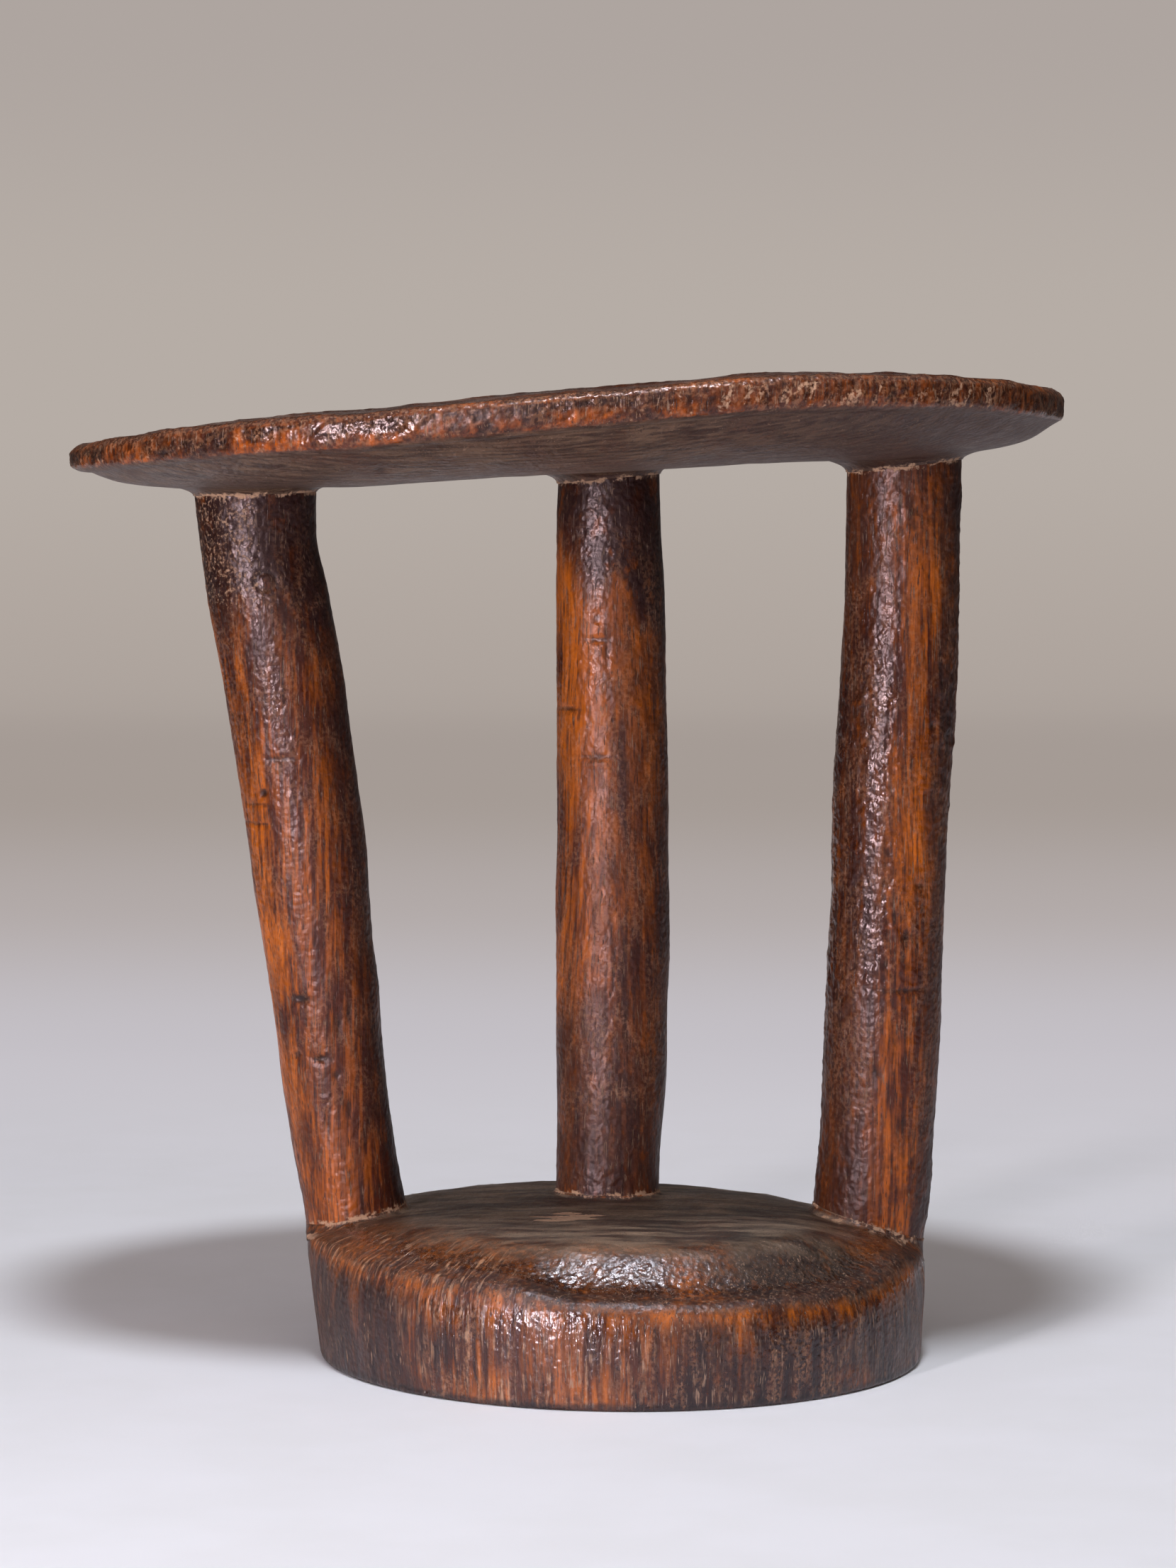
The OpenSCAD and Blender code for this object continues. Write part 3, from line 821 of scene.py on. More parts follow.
def carve_seat(points, normals):
    """A band of knife chips, a scooped top, and an underside that is smooth but for its waves."""
    x, y, z = points.T
    u, v = x - SEAT_X, y - SEAT_Y
    share = np.hypot(u, v) / seat_reach(np.arctan2(v, u))
    drop = rim_level(u, v) - z
    up = normals[:, 2]
    edgeways = np.where(up > 0, ease(1 - up, 0.35, 0.8), ease(1 + up, 0.15, 0.40))
    side = edgeways * ease(share, 0.955, 0.98)
    top = ease(up, 0.2, 0.6)
    under = ease(-up, 0.2, 0.5) * (1 - side)

    leaning = points.copy()
    leaning[:, 0] -= CUT_LEAN * (z - SEAT_H)
    chip, chip_ridge = cuts(leaning, (4.2, 4.2, 4.4), 310)
    fine, fine_ridge = cuts(leaning, (1.9, 1.9, 2.1), 311)
    scoop, _ = cuts(points, (14, 14, 14), 320)
    wave = rough(points, 22, 330)
    small = rough(points, 3.5, 331, 2)
    uneven_edge = rough(points * (1, 1, 0.2), 11, 332)
    verge = ease(share, 0.93, 0.99)
    pit = 0.9 * spot(points, (-53, -62, 209), (1.6, 3, 1.2))
    move = side * (0.42 * (chip - 0.42) + 0.42 * (fine - 0.4) + 0.30 * uneven_edge) - pit
    move += top * (0.40 * (scoop - 0.45) + 0.30 * wave + 0.05 * small)
    move += top * verge * (0.45 * uneven_edge + 0.25 * (fine - 0.4))
    move += under * (0.22 * (scoop - 0.45) + 0.30 * wave + 0.04 * small)

    low_half = uneven(drop, points, (5, 5, 3), 1.2, 347, 3.2, 5.5)
    patches = patchy(points, (5, 5, 4), 341, -0.20, 0.15)
    rising = ease(u, -20, 55)
    # Where the left lamp's highlight falls on the band it is painted less orange and so darker: painted
    # shade that tones the highlight down.
    calm = ease(u, -36, -26) * (1 - ease(u, -12, 0))
    leftmost = 1 - ease(u, -70, -30)
    bare = side * low_half * (1 - 0.55 * rising) * (0.45 + 0.55 * (1 - patches)) * (1 - 0.5 * calm)
    dark = side * np.clip(0.95 - 0.95 * bare + 0.25 * patches, 0, 1)
    dark *= 1 - side * (0.75 * leftmost * (1 - patches) + 0.45 * ease(u, 10, 50))
    # The crease under the rim band, away from the two tips, is painted dark: painted shade.
    seam = hump(drop, 8.7, 0.7) * ease(u, -90, -40) * ease(share, 0.94, 0.96)
    dark = most(dark, top * (0.50 + 0.25 * rough(points, (24, 14, 14), 353)),
                under * (0.70 + 0.28 * ease(u, 10, 80)), 0.8 * side * ease(u, 98, 108),
                0.85 * side * ease(-u, 109, 114), 0.95 * seam * (1 - ease(u, 50, 90)))
    warm = np.clip(0.75 + 0.5 * rough(points, 8, 342), 0, 1) * side * (1 - 0.5 * rising)
    warm = most(warm, 0.6 * top * patchy(points, (20, 10, 10), 354, -0.3, 0.5))

    scratches = ease(bumps(leaning, (0.8, 6, 7), 343), 0.30, 0.50) * (0.35 + 0.65 * ease(u, 20, 60))
    # Pale flecks on the left of the band: painted glints where no lamp's reflection reaches.
    glint_flecks = (ease(bumps(leaning, (1.3, 4, 2.2), 352), 0.35, 0.55) * side * leftmost
              * (1 - ease(-u, 110, 116)))
    # Pale spots on the upper lip of the band: painted glints; the rest of the lip is pale from abrasion.
    lip_glints = spot(points, (-16, -80, 222), (9, 20, 9)) + spot(points, (17, -80, 226), (6, 20, 9))
    lip = hump(drop, 0.8, 1.1) * ease(share, 0.955, 0.985)
    # The pale chip ridges are partly abraded wood and partly painted glints.
    wear = most(side * 0.6 * chip_ridge, side * 0.3 * fine_ridge,
                side * scratches * (1 - ease(u, 96, 104)), glint_flecks,
                lip * (0.55 + 0.45 * np.clip(lip_glints, 0, 1)))
    # Pale dabs on the band: painted glints, laid on with the dusting.
    glint_dabs = ease(bumps(leaning, (1.5, 5, 3.4), 351), 0.15, 0.40)
    band_dust_and_glints = 0.06 + 0.10 * rough(leaning, (4, 4, 3), 348) + 0.46 * glint_dabs
    dust = most(side * band_dust_and_glints * ease(u, -10, 40) * (1 - ease(u, 92, 100)), 0.40 * glint_flecks)
    for at, level in BAND_SCRATCHES:
        scratch = side * spot(leaning, (at, -72, level), (1.1, 24, 2.4))
        wear = most(wear, 1.6 * scratch)
        dust = most(dust, 0.6 * scratch)
    lines, haze = broken(points, 345), patchy(points, 3, 346, -0.3, 0.6)
    for post in POSTS:
        dust = most(dust, 0.8 * lines * ring_dust(points, post.head_level, post, 0.9),
                    0.36 * haze * ring_dust(points, post.head_level, post, 5.0))
    return move, {
        "dark": dark, "warm": warm, "dust": dust, "wear": wear, "pit": ease(pit, 0.2, 0.8),
        "matt": most(under * (0.5 + 0.5 * ease(u, -10, 60)), 0.8 * calm * side),
        "under": under * (1 - side) * (1 - 0.55 * ease(u, 10, 80))}


# Strokes of the pale scratch on the dome: place along X and Y, and half length
SCRATCH_STROKES = ((-15, -18, 4.5), (-10, -16, 5.0), (-14, -13.5, 6.0), (-8, -11.5, 4.0),
                   (-12, -9, 3.0))


def carve_base(points, normals):
    """A wall of upright strokes, a scooped dome and a shoulder of small dimples."""
    x, y, z = points.T
    share = np.hypot(x, y) / edge_reach(np.arctan2(y, x))
    up = normals[:, 2]
    wall = ease(1 - up, 0.55, 0.9) * ease(z, 0.2, 1.5)
    top = ease(up, 0.3, 0.7)
    shoulder = top * ease(share, 0.62, 0.9)
    flat = top * (1 - shoulder)
    down = ease(-up, 0.3, 0.6)
    front = ease(-y, 10, 40)

    scoop, _ = cuts(points, (11, 11, 11), 410)
    groove = bumps(points, (1.5, 1.5, 26), 411) + 0.7 * bumps(points, (0.8, 0.8, 15), 412)
    stroke, stroke_ridge = cuts(points, (3.4, 3.4, 26), 413)
    dimple, dimple_ridge = cuts(points, (1.9, 1.9, 1.6), 414)
    wave = rough(points, 16, 415)
    grooved = 0.45 + 0.55 * patchy(points, (12, 12, 30), 416, -0.3, 0.4, 2)
    move = wall * (0.42 * grooved * (stroke - 0.42) + 0.17 * grooved * groove + 0.30 * wave)
    move += top * (0.42 * (scoop - 0.45) + 0.32 * wave) + 0.18 * shoulder * (dimple - 0.4)
    ragged = 0.75 + 0.5 * bumps(points, (2.5, 1.2, 5), 429)
    scratch = most(0, *(ragged * spot(points, (at_x, at_y, CROWN_H - 0.5), (length, 1.5, 3))
                        for at_x, at_y, length in SCRATCH_STROKES))
    move = move * (1 - down) - 0.3 * scratch * top

    leftward = 1 - ease(x, -34, -16)
    left_wall = 1 - 0.7 * ease(-x, 40, 58) * wall
    blotch = rough(points, (9, 9, 16), 426)
    # The right half and the far left end of the wall are painted darker in patches: painted shade where
    # the wall turns from the lamps.
    shaded_wall_sides = most(0.9 * ease(x + 12 * blotch, -2, 18), 0.85 * ease(-x + 8 * blotch, 42, 54))
    dark = most(0.3 * patchy(points, (7, 7, 18), 420, -0.3, 0.6),
                0.9 * shoulder * patchy(points, 14, 421, -0.9, 0.1, 2)
                * (1 - 0.45 * leftward * ease(share, 0.70, 0.82)),
                0.6 * flat,
                1.25 * uneven(x, points, (6, 6, 6), 3, 428, 17, 30) * ease(z, 22, 25) * front,
                shaded_wall_sides * wall * ease(blotch, -0.85, -0.15),
                0.85 * wall * spot(points, (-41.9, -55, 12.4), (6, 12, 6)))
    # The top of the front wall is painted warmer, and on its right less dark: painted light where the
    # lamps catch it.
    lit = hump(z, 22, 4.5) * front
    dark = dark * (1 - 0.6 * lit * ease(x, 20, 40) * wall)
    warm = np.clip(0.45 + 0.7 * rough(points, (7, 7, 24), 422) + 0.35 * lit, 0, 1)

    ledge = ease(share, 0.875, 0.895) * ease(z, 21.5, 23.5)
    ridge = hump(z, LEFT.foot_level(x, y) - 2.4, 0.8) * ease(-y, -6, 0) * (1 - ease(x, -56, -50))
    band = hump(z, RIGHT.foot_level(x, y) - 1.2, 1.3) * ease(-y, -6, 0)
    lines = broken(points, 425)
    dust = most(0.5 * ease(groove, 0.7, 1.3) * wall, ease(scratch, 0.10, 0.35) * top,
                0.8 * spot(points, (66, -2, 28), (8, 9, 4)) * patchy(points, 2.2, 424, -0.3, 0.4, 2),
                0.27 * ledge * front,
                0.9 * ridge * (1 - ease(LEFT.beside(points), 4.0, 7.0)),
                0.75 * lines * band * (1 - ease(RIGHT.beside(points), 3.0, 5.5)))
    for post in POSTS:
        dust = most(dust, 0.8 * lines * ring_dust(points, post.foot_level, post, 0.9))
    matt = most(ledge, flat, 0.15 * top * ease(x, 16, 28) * front,
                (0.35 * ease(x, 0, 25) + 1.0 * ease(-x, 38, 50) + 0.5 * ease(x, 50, 62)) * wall)
    # On the wall the strokes are strongest near x = -22, where their pale lines are partly painted
    # glints.
    grooves = (0.9 * leftward * ease(share, 0.68, 0.85) * (1 - wall)
               + (0.22 + 0.6 * hump(x, -22, 24)) * wall * left_wall) * (1 - down)
    return move, {
        "dark": dark, "warm": warm, "dust": dust, "matt": matt, "under": flat, "grooves": grooves,
        "wear": most(0.7 * wall * stroke_ridge * grooved * left_wall, 0.35 * shoulder * dimple_ridge),
        "grey": patchy(points, (6, 6, 30), 423, 0.0, 0.6) * wall,
        # Dark along the foot of the wall: a painted contact shadow at the floor, with a dark edge.
        "pit": 1 - uneven(z, points, (4, 4, 4), 0.4, 427, 1.1, 2.4)}


PAINTED = ("dark", "warm", "dust", "wear", "pit", "matt", "under", "grey", "grooves")
# The shoulder is unrolled outside one radius onto a wall of another, so that its strokes run on
SHOULDER_R, UNROLL_R = 68, 70


def finish_piece(obj, carve):
    """Carves a piece and keeps what its material needs at each vertex."""
    points = points_of(obj)
    move, painted = carve(points, normals_of(obj))
    set_points(obj, points + normals_of(obj) * move[:, None])
    for name in PAINTED:
        write(obj, name, painted.get(name, np.zeros(len(points))))
    # Darker where the carving is hollow: painted shade in its hollows.
    hollow = neighbour_mean(obj, neighbour_mean(obj, move)) - move
    write(obj, "hollow", ease(hollow, 0.0, 0.06))
    x, y, z = points.T
    a, r = np.arctan2(y, x), np.hypot(x, y)
    write_place(obj, "unrolled", polar(UNROLL_R, a, z + np.maximum(0, SHOULDER_R - r)))
    shade_smooth(obj)


def near_collars(obj, level_name, under):
    """Weight for softening the join of the collars: 1 outside the foot of each flare."""
    points = points_of(obj)
    weight = 0
    for post in POSTS:
        beside = post.beside(points)
        level = getattr(post, level_name)(points[:, 0], points[:, 1])
        weight = most(weight, ease(beside, 1.2, 4.0) * (1 - ease(beside, 15, 24))
                      * hump(points[:, 2], level, 12))
    return weight * under


def near_right_tip(obj):
    """Weight for softening the lower corner of the +X tip of the seat."""
    x, y, z = points_of(obj).T
    u, v = x - SEAT_X, y - SEAT_Y
    drop = rim_level(u, v) - z
    a = np.arctan2(v, u)
    out = ease(np.hypot(u, v) / seat_reach(a), 0.93, 0.96)
    return turned(a, 0, 28) * out * ease(drop, 4.5, 6.5) * (1 - ease(drop, 13, 17))


def carved_seat():
    seat = make_object("carved_seat", *seat_shape())
    union(seat, [make_object("collar", *head_collar(post)) for post in POSTS])
    below = ease(-normals_of(seat)[:, 2], -0.3, 0.1)
    relax(seat, 0.5 * near_collars(seat, "head_level", below), 14)
    relax(seat, 0.5 * near_right_tip(seat), 12)
    finish_piece(seat, carve_seat)
    return seat


def carved_base():
    base = make_object("carved_base", *base_shape())
    union(base, [make_object("collar", *foot_collar(post)) for post in POSTS])
    x, y, z = points_of(base).T
    inside = ease(0.965 - np.hypot(x, y) / 72, 0, 0.03)
    relax(base, 0.5 * near_collars(base, "foot_level", ease(z, 20, 24)) * inside, 6)
    finish_piece(base, carve_base)
    return base


def carved_post(post):
    obj = make_object("carved_" + post.name, *post_shape(post))
    finish_piece(obj, lambda points, normals: carve_post(post, points))
    return obj


# Woods

def srgb(r, g, b):
    """A colour from its screen values, 0 to 255."""
    def linear(c):
        c = c / 255
        return c / 12.92 if c <= 0.04045 else ((c + 0.055) / 1.055) ** 2.4
    return (linear(r), linear(g), linear(b), 1)


class Nodes:
    """Short calls for the nodes of one material."""

    def __init__(self, name):
        self.material = bpy.data.materials.new(name)
        self.material.use_nodes = True
        self.tree = self.material.node_tree
        self.tree.nodes.clear()

    def put(self, socket, value):
        if isinstance(value, bpy.types.NodeSocket):
            self.tree.links.new(value, socket)
        else:
            socket.default_value = value

    def add(self, kind, values=None, **settings):
        node = self.tree.nodes.new(kind)
        for key, value in settings.items():
            setattr(node, key, value)
        for key, value in (values or {}).items():
            self.put(node.inputs[key], value)
        return node

    def math(self, operation, a, b=0.0, clamp=False):
        node = self.add("ShaderNodeMath", {0: a, 1: b}, operation=operation)
        node.use_clamp = clamp
        return node.outputs[0]

    def times(self, a, b, clamp=False):
        return self.math("MULTIPLY", a, b, clamp)

    def plus(self, a, b, clamp=False):
        return self.math("ADD", a, b, clamp)

    def minus(self, a, b, clamp=False):
        return self.math("SUBTRACT", a, b, clamp)

    def vector(self, operation, a, b):
        return self.add("ShaderNodeVectorMath", {0: a, 1: b}, operation=operation).outputs[0]

    def noise(self, place, size, detail=3.0, roughness=0.55, distortion=0.0, output=0):
        """Noise with bumps of the given size in millimetres along each axis."""
        scale = tuple(1000.0 / s for s in (size if hasattr(size, "__len__") else (size,) * 3))
        node = self.add("ShaderNodeTexNoise", {
            "Vector": self.vector("MULTIPLY", place, scale), "Scale": 1.0, "Detail": detail,
            "Roughness": roughness, "Distortion": distortion})
        return node.outputs[output]

    def rise(self, value, low, high, to_low=0.0, to_high=1.0):
        node = self.add("ShaderNodeMapRange", {
            "Value": value, "From Min": low, "From Max": high, "To Min": to_low,
            "To Max": to_high}, interpolation_type="SMOOTHSTEP")
        return node.outputs[0]

    def mix(self, a, b, share):
        node = self.add("ShaderNodeMix", {"Factor": share}, data_type="RGBA")
        sockets = {s.name: s for s in list(node.inputs) + list(node.outputs) if s.type == "RGBA"}
        self.put(sockets["A"], a)
        self.put(sockets["B"], b)
        return sockets["Result"]

    def kept(self, name):
        return self.add("ShaderNodeAttribute", attribute_name=name).outputs["Fac"]


# Colours that all three woods share; the pale ones also paint glints, and the darkest also paints shade
DUST_AND_GLINT_PALE, STAIN, SCRAPED_AND_GLINT = srgb(178, 142, 116), srgb(24, 12, 10), srgb(188, 134, 100)
PIT_DARK, GREYED, PALE_STROKE_AND_GLINT = srgb(16, 11, 10), srgb(112, 84, 84), srgb(196, 150, 118)
# Where the middle of the tree stood, the width of a growth ring, and how far the rings wander
PITH = (-4.0, -34.0)
RING_W, RING_DRIFT = 1.7, 16.0
# Height of the finest relief
RELIEF = 0.3


def late_wood(n, place):
    """How much of the dark late wood of the growth rings shows at a place."""
    drift = n.noise(place, (24, 24, 80), 2.0, 0.5, output="Color")
    drift = n.vector("SUBTRACT", drift, (0.5, 0.5, 0.5))
    drift = n.vector("MULTIPLY", drift, (RING_DRIFT * MM, RING_DRIFT * MM, 0.0))
    from_pith = n.vector("SUBTRACT", n.vector("ADD", place, drift), (PITH[0] * MM, PITH[1] * MM, 0.0))
    from_pith = n.vector("MULTIPLY", from_pith, (1.0, 1.0, 0.03))
    radius = n.add("ShaderNodeVectorMath", {0: from_pith}, operation="LENGTH").outputs["Value"]
    count = n.times(radius, 1000 / RING_W)
    count = n.plus(count, n.times(n.noise(place, (6, 6, 40), 2.0), 1.1))
    phase = n.math("FRACT", count)
    return n.times(n.rise(phase, 0.45, 0.88), n.rise(phase, 0.88, 1.0, 1.0, 0.0))


def wood(name, orange, brown, deep, coat_and_shade_dark, wiped_pair, wiped_size, pale_pores, gloss, beaten,
         grain, specular, tint):
    """Old hardwood with growth rings, open pores, a dark handled patina with painted shade, dusting and
    abraded ridges with painted glints, and painted shade in hollows and pits.
    """
    n = Nodes(name)
    place = n.add("ShaderNodeTexCoord").outputs["Object"]
    late = late_wood(n, place)
    streak = n.noise(place, (1.3, 1.3, 30), 3.0, 0.6)
    thread = n.noise(place, (0.5, 0.5, 12), 2.0, 0.6)
    pores = n.rise(n.noise(place, (0.36, 0.36, 4.5), 1.0, 0.5), 0.61, 0.69)
    broad = n.noise(place, (13, 13, 34), 3.0, 0.6)
    mottle = n.noise(place, (3.2, 3.2, 5.5), 4.0, 0.65)
    grit = n.noise(place, (0.8, 0.8, 0.9), 2.0, 0.6)
    wiped = n.noise(place, wiped_size, 3.0, 0.6)
    unrolled = n.add("ShaderNodeAttribute", attribute_name="unrolled").outputs["Vector"]
    strokes = n.noise(unrolled, (1.0, 1.0, 13.0), 2.0, 0.5, 0.25)
    grooves, under = n.kept("grooves"), n.kept("under")
    raised = n.times(n.rise(strokes, 0.55, 0.65), grooves)
    sunk = n.times(n.rise(strokes, 0.34, 0.46, 1.0, 0.0), grooves)

    warm = n.times(n.kept("warm"), n.rise(broad, 0.30, 0.60), clamp=True)
    warm = n.plus(warm, n.rise(streak, 0.35, 0.70, -0.35, 0.35), clamp=True)
    zone = n.rise(mottle, 0.38, 0.62, 0.2 * grain, grain)
    coat_and_shade = n.times(n.kept("dark"), n.rise(mottle, 0.32, 0.50, 0.70, 1.0), clamp=True)
    worn_and_glinting = n.times(n.kept("wear"), n.rise(grit, 0.42, 0.62, 0.05, 0.85), clamp=True)
    dust_and_glint_cover = n.rise(n.plus(n.kept("dust"), n.times(n.minus(grit, 0.5), 1.15)), 0.40, 0.72)
    colour = n.mix(brown, orange, warm)
    for layer, share in (
            (deep, n.times(late, n.times(zone, 0.7))),
            (deep, n.times(n.rise(thread, 0.52, 0.68), zone)),
            (GREYED, n.times(n.kept("grey"), n.rise(streak, 0.4, 0.7, 0.1, 0.55))),
            # The dark patina, with the painted shade that the dark value carries on some pieces.
            (coat_and_shade_dark, coat_and_shade),
            (n.mix(*wiped_pair, n.rise(wiped, 0.34, 0.66)),
             n.times(under, n.rise(broad, 0.3, 0.6, 0.45, 0.85))),
            # Deep colour in the hollows of the carving: painted shade.
            (deep, n.times(n.kept("hollow"), 0.6)),
            # Pale raised strokes, partly painted glints, and deep sunk strokes, painted shade in the
            # grooves.
            (PALE_STROKE_AND_GLINT, n.times(raised, n.rise(mottle, 0.42, 0.60, 0.05, 0.6))),
            (deep, n.times(sunk, n.rise(broad, 0.35, 0.6, 0.15, 0.5))),
            (n.mix(STAIN, DUST_AND_GLINT_PALE, n.times(n.rise(mottle, 0.45, 0.6), pale_pores)), n.times(pores, 0.8)),
            # Near black in nicks and pits, and along the foot of the base: painted shade and a painted
            # contact shadow.
            (PIT_DARK, n.times(n.kept("pit"), 0.8)),
            # Pale scraped colour on abraded ridges, partly painted glints.
            (SCRAPED_AND_GLINT, n.times(worn_and_glinting, 0.5)),
            # Pale dusting, and painted glints on the seat's band.
            (DUST_AND_GLINT_PALE, n.times(dust_and_glint_cover, 0.85))):
        colour = n.mix(colour, layer, share)

    shine = n.rise(mottle, 0.32, 0.66, gloss - 0.05, gloss + 0.10)
    for value, share in ((pores, 0.2), (dust_and_glint_cover, 0.5), (under, 0.10), (n.kept("matt"), 0.26)):
        shine = n.plus(shine, n.times(value, share))
    shine = n.minus(shine, n.times(coat_and_shade, 0.03), clamp=True)

    height = n.times(n.noise(place, (1.2, 1.2, 1.2), 0.5, 0.5), beaten)
    for value, share in ((grit, 0.30 * beaten), (thread, 0.04 * grain), (pores, -0.10),
                         (n.minus(raised, sunk), 0.32), (n.times(wiped, under), 0.12)):
        height = n.plus(height, n.times(value, share))
    relief = n.add("ShaderNodeBump", {"Height": height, "Strength": 0.9, "Distance": RELIEF * MM})
    shader = n.add("ShaderNodeBsdfPrincipled", {
        "Base Color": colour, "Roughness": shine, "Normal": relief.outputs[0],
        "Specular IOR Level": specular, "Specular Tint": tint})
    n.tree.nodes.active = n.add("ShaderNodeOutputMaterial", {"Surface": shader.outputs[0]})
    return n.material


# Colours and size of the streaks where the wood is wiped by hands
HANDLED_PAIR, HANDLED_SIZE = (srgb(42, 30, 22), srgb(108, 84, 66)), (12, 1.1, 1.1)
seat_wood = wood(
    "seat_wood", orange=srgb(180, 86, 12), brown=srgb(78, 34, 16), deep=srgb(20, 9, 6),
    coat_and_shade_dark=srgb(40, 21, 18), wiped_pair=HANDLED_PAIR, wiped_size=HANDLED_SIZE, pale_pores=0.5,
    gloss=0.24, beaten=1.0, grain=0.45, specular=0.50, tint=(1.0, 0.76, 0.76, 1.0))
post_wood = wood(
    "post_wood", orange=srgb(186, 94, 12), brown=srgb(68, 25, 8), deep=srgb(18, 7, 5),
    coat_and_shade_dark=srgb(34, 14, 12), wiped_pair=HANDLED_PAIR, wiped_size=HANDLED_SIZE, pale_pores=0.3,
    gloss=0.25, beaten=1.0, grain=0.8, specular=0.46, tint=(1.0, 0.77, 0.80, 1.0))
base_wood = wood(
    "base_wood", orange=srgb(178, 92, 18), brown=srgb(74, 33, 14), deep=srgb(18, 9, 7),
    coat_and_shade_dark=srgb(25, 11, 9), wiped_pair=(srgb(38, 31, 25), srgb(136, 116, 98)),
    wiped_size=(18, 4.5, 4.5), pale_pores=0.6, gloss=0.20, beaten=0.9, grain=0.8, specular=0.62,
    tint=(0.97, 0.91, 1.0, 1.0))

for piece, node_name, material, slot_name in (
        [(carved_seat(), "seat", seat_wood, "seat_wood"), (carved_base(), "base", base_wood, "base_wood")]
        + [(carved_post(post), post.name, post_wood, "post_wood") for post in POSTS]):
    piece.data.materials.clear()
    piece.data.materials.append(material)
    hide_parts(node_name)
    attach(piece, "root")


# Floor, lamps and camera

# Floor colours near the stool, and the dark grey it is painted further out, which is painted shade of a
# dim room
FLOOR_NEAR, FLOOR_NEAR_TOO, FLOOR_AWAY = srgb(231, 230, 238), srgb(228, 227, 234), srgb(122, 118, 117)
# Painted shading of the backdrop, which glows for camera, glossy and transmission rays: the shade, the
# axis along which it comes in, and over which metres
BACK_START = srgb(209, 206, 213)
BACK_SHADES = (
    (srgb(196, 192, 198), "Y", 0.30, 0.55), (srgb(180, 172, 171), "Y", 0.50, 0.95),
    (srgb(165, 155, 149), "Y", 0.80, 1.45), (srgb(177, 167, 160), "Y", 1.70, 2.35),
    (srgb(182, 173, 166), "Z", 0.02, 0.16), (srgb(174, 165, 160), "Z", 0.22, 0.44))


def studio_material():
    """Pale floor that takes the light near the stool and is painted dark further back, as painted shade;
    behind it a backdrop glows with painted shading.
    """
    n = Nodes("studio_floor")
    place = n.add("ShaderNodeTexCoord").outputs["Object"]
    axes = n.add("ShaderNodeSeparateXYZ", {0: place}).outputs
    aside = n.math("ABSOLUTE", axes["X"])
    away = n.add("ShaderNodeVectorMath", {0: place}, operation="LENGTH").outputs["Value"]
    near = n.mix(FLOOR_NEAR, FLOOR_NEAR_TOO, n.rise(n.noise(place, 60, 3.0, 0.6), 0.35, 0.65))
    near = n.mix(near, FLOOR_AWAY, n.rise(away, 0.34, 0.80))
    plain = n.add("ShaderNodeBsdfPrincipled", {"Base Color": near, "Roughness": 0.6,
                                              "Specular IOR Level": 0.2})
    back = BACK_START
    for shade, axis, low, high in BACK_SHADES:
        back = n.mix(back, shade, n.rise(axes[axis], low, high))
    shown = n.add("ShaderNodeEmission", {"Color": back, "Strength": 1.0})
    path = n.add("ShaderNodeLightPath").outputs
    seen = n.math("MAXIMUM", path["Is Camera Ray"], path["Is Glossy Ray"])
    seen = n.math("MAXIMUM", seen, path["Is Transmission Ray"])
    for share in (n.rise(axes["Y"], 0.18, 0.50), n.rise(aside, 0.45, 0.65, 1.0, 0.0),
                  n.rise(axes["Z"], 0.50, 0.75, 1.0, 0.0)):
        seen = n.times(seen, share)
    mixed = n.add("ShaderNodeMixShader", {0: seen, 1: plain.outputs[0], 2: shown.outputs[0]})
    n.add("ShaderNodeOutputMaterial", {"Surface": mixed.outputs[0]})
    return n.material


FLOOR_HALF, FLOOR_BACK, SWEEP_R, WALL_TOP = 9000.0, 2000.0, 700.0, 3000.0


def sweep():
    """A floor that turns up into a backdrop far behind the stool."""
    line = [(y, 0.0) for y in (-FLOOR_HALF, -3000.0, -600.0, -200.0, 300.0, 900.0, FLOOR_BACK)]
    for k in range(1, 13):
        turn = math.pi / 2 * k / 12
        line.append((FLOOR_BACK + SWEEP_R * math.sin(turn), SWEEP_R * (1 - math.cos(turn))))
    line.append((FLOOR_BACK + SWEEP_R, WALL_TOP))
    xs = np.linspace(-FLOOR_HALF, FLOOR_HALF, 19)
    count = len(xs)
    faces = [(k * count + i, k * count + i + 1, (k + 1) * count + i + 1, (k + 1) * count + i)
             for k in range(len(line) - 1) for i in range(count - 1)]
    obj = make_object("studio_floor", np.array([(x, y, z) for y, z in line for x in xs]), faces)
    obj.data.materials.append(studio_material())
    shade_smooth(obj)
    return obj


floor = sweep()


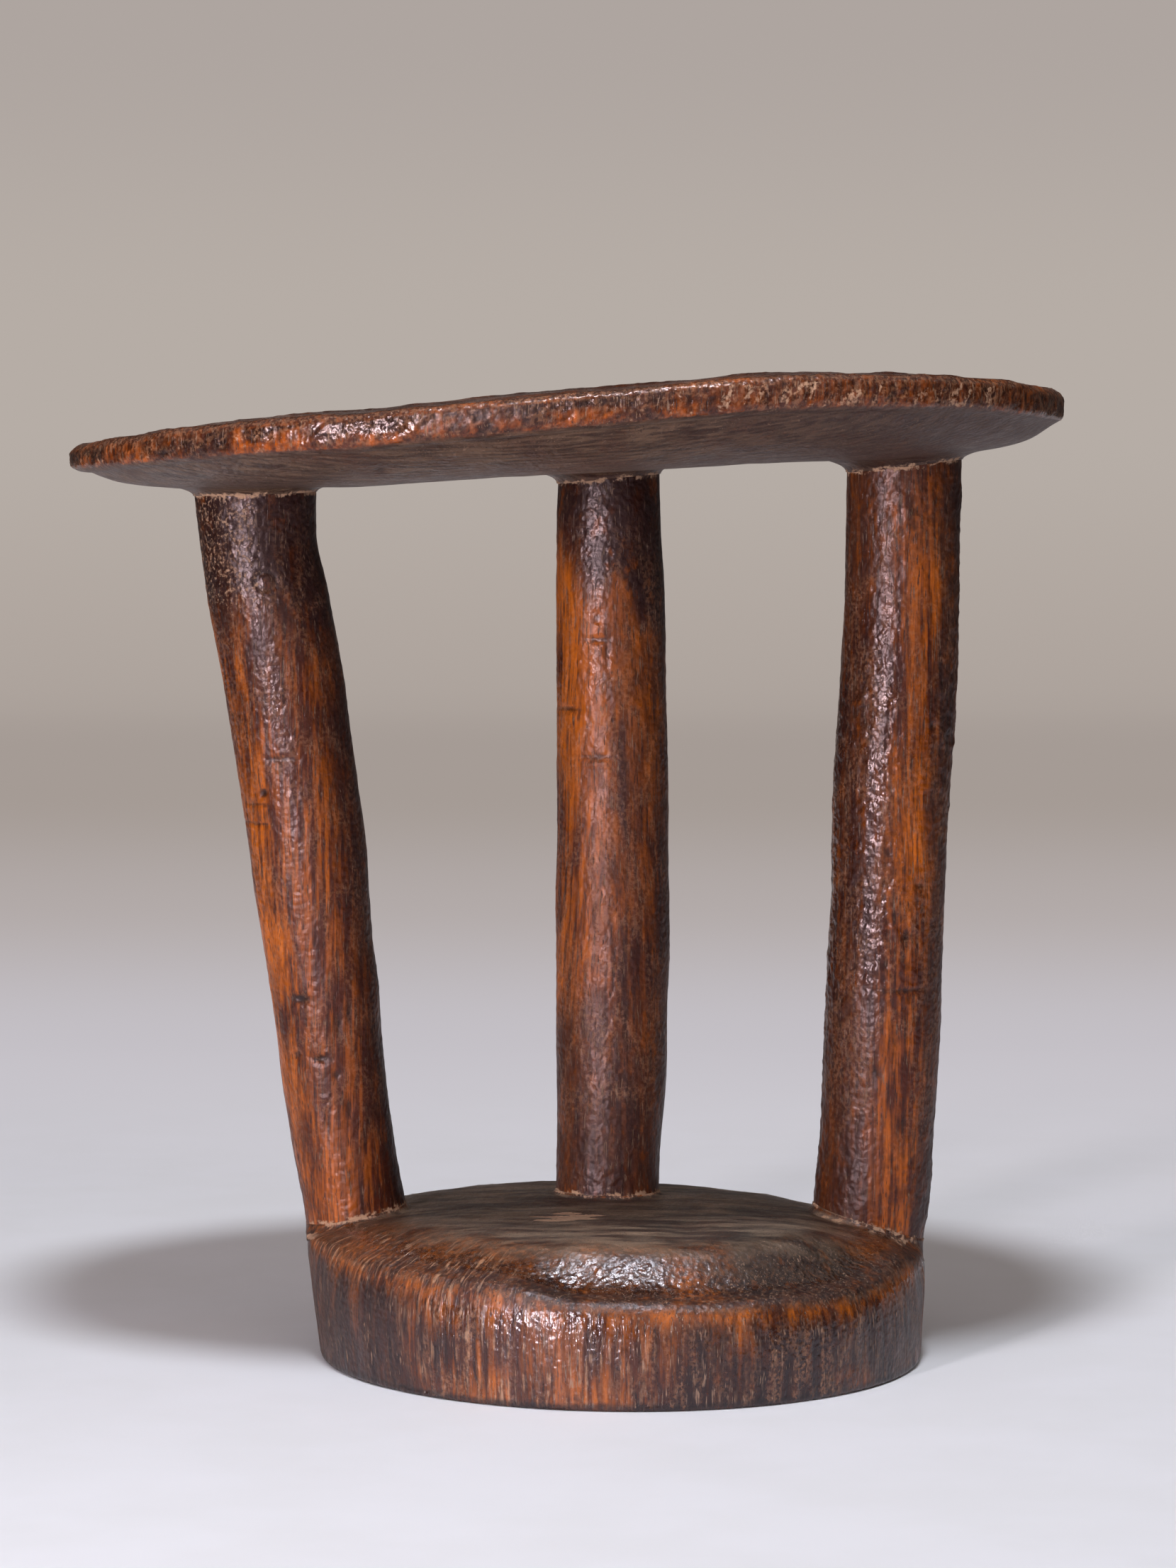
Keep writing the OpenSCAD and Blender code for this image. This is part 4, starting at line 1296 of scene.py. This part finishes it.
def lamp(name, place, aim, size, spread, watts, colour):
    """An oval soft lamp, whose light spreads over an angle."""
    data = bpy.data.lights.new(name, "AREA")
    data.shape = "ELLIPSE"
    data.size, data.size_y = size[0] * MM, size[1] * MM
    data.spread = math.radians(spread)
    data.energy = watts
    data.color = colour
    obj = placed(name, data)
    obj.location = Vector(place) * MM
    direction = (Vector(aim) - Vector(place)) * MM
    obj.rotation_euler = direction.to_track_quat("-Z", "Y").to_euler()


MIDDLE = (-8, 5, 110)
lamp("lamp_over", (4, -437, 1384), (0, 0, 100), (200, 200), 180, 12.6, (0.90, 0.96, 1.0))
lamp("lamp_left", (-530, -950, 230), MIDDLE, (120, 300), 50, 0.84, (1.0, 0.94, 0.97))
lamp("lamp_right", (400, -1000, 440), MIDDLE, (900, 900), 70, 0.25, (0.97, 0.98, 1.0))

# The world is dim at the level of the horizon and lighter above
SKY_FROM, SKY_TO, SKY_LOW, SKY_HIGH = 0.15, 0.9, 0.03, 0.66
world = bpy.data.worlds.new("studio")
bpy.context.scene.world = world
world.use_nodes = True
sky = world.node_tree
background = sky.nodes["Background"]
background.inputs[0].default_value = srgb(216, 206, 198)
split = sky.nodes.new("ShaderNodeSeparateXYZ")
height = sky.nodes.new("ShaderNodeMapRange")
height.interpolation_type = "SMOOTHSTEP"
for socket, value in (("From Min", SKY_FROM), ("From Max", SKY_TO), ("To Min", SKY_LOW),
                      ("To Max", SKY_HIGH)):
    height.inputs[socket].default_value = value
sky.links.new(sky.nodes.new("ShaderNodeTexCoord").outputs["Generated"], split.inputs[0])
sky.links.new(split.outputs[2], height.inputs["Value"])
sky.links.new(height.outputs[0], background.inputs[1])

# The focal length is given in pixels of a picture this many pixels high
PICTURE_H, FOCAL_PX, SENSOR = 2212, 7760, 36.0
CAMERA_AT, CAMERA_PITCH = (-7.4, -1271.2, 247.1), 5.1
camera_data = bpy.data.cameras.new("camera")
camera_data.sensor_width = SENSOR
camera_data.lens = SENSOR * FOCAL_PX / PICTURE_H
camera_data.clip_start, camera_data.clip_end = 0.01, 50.0
camera = placed("camera", camera_data)
camera.location = Vector(CAMERA_AT) * MM
camera.rotation_euler = (math.radians(90 - CAMERA_PITCH), 0, 0)
bpy.context.scene.camera = camera

bpy.context.scene.view_settings.view_transform = "Standard"
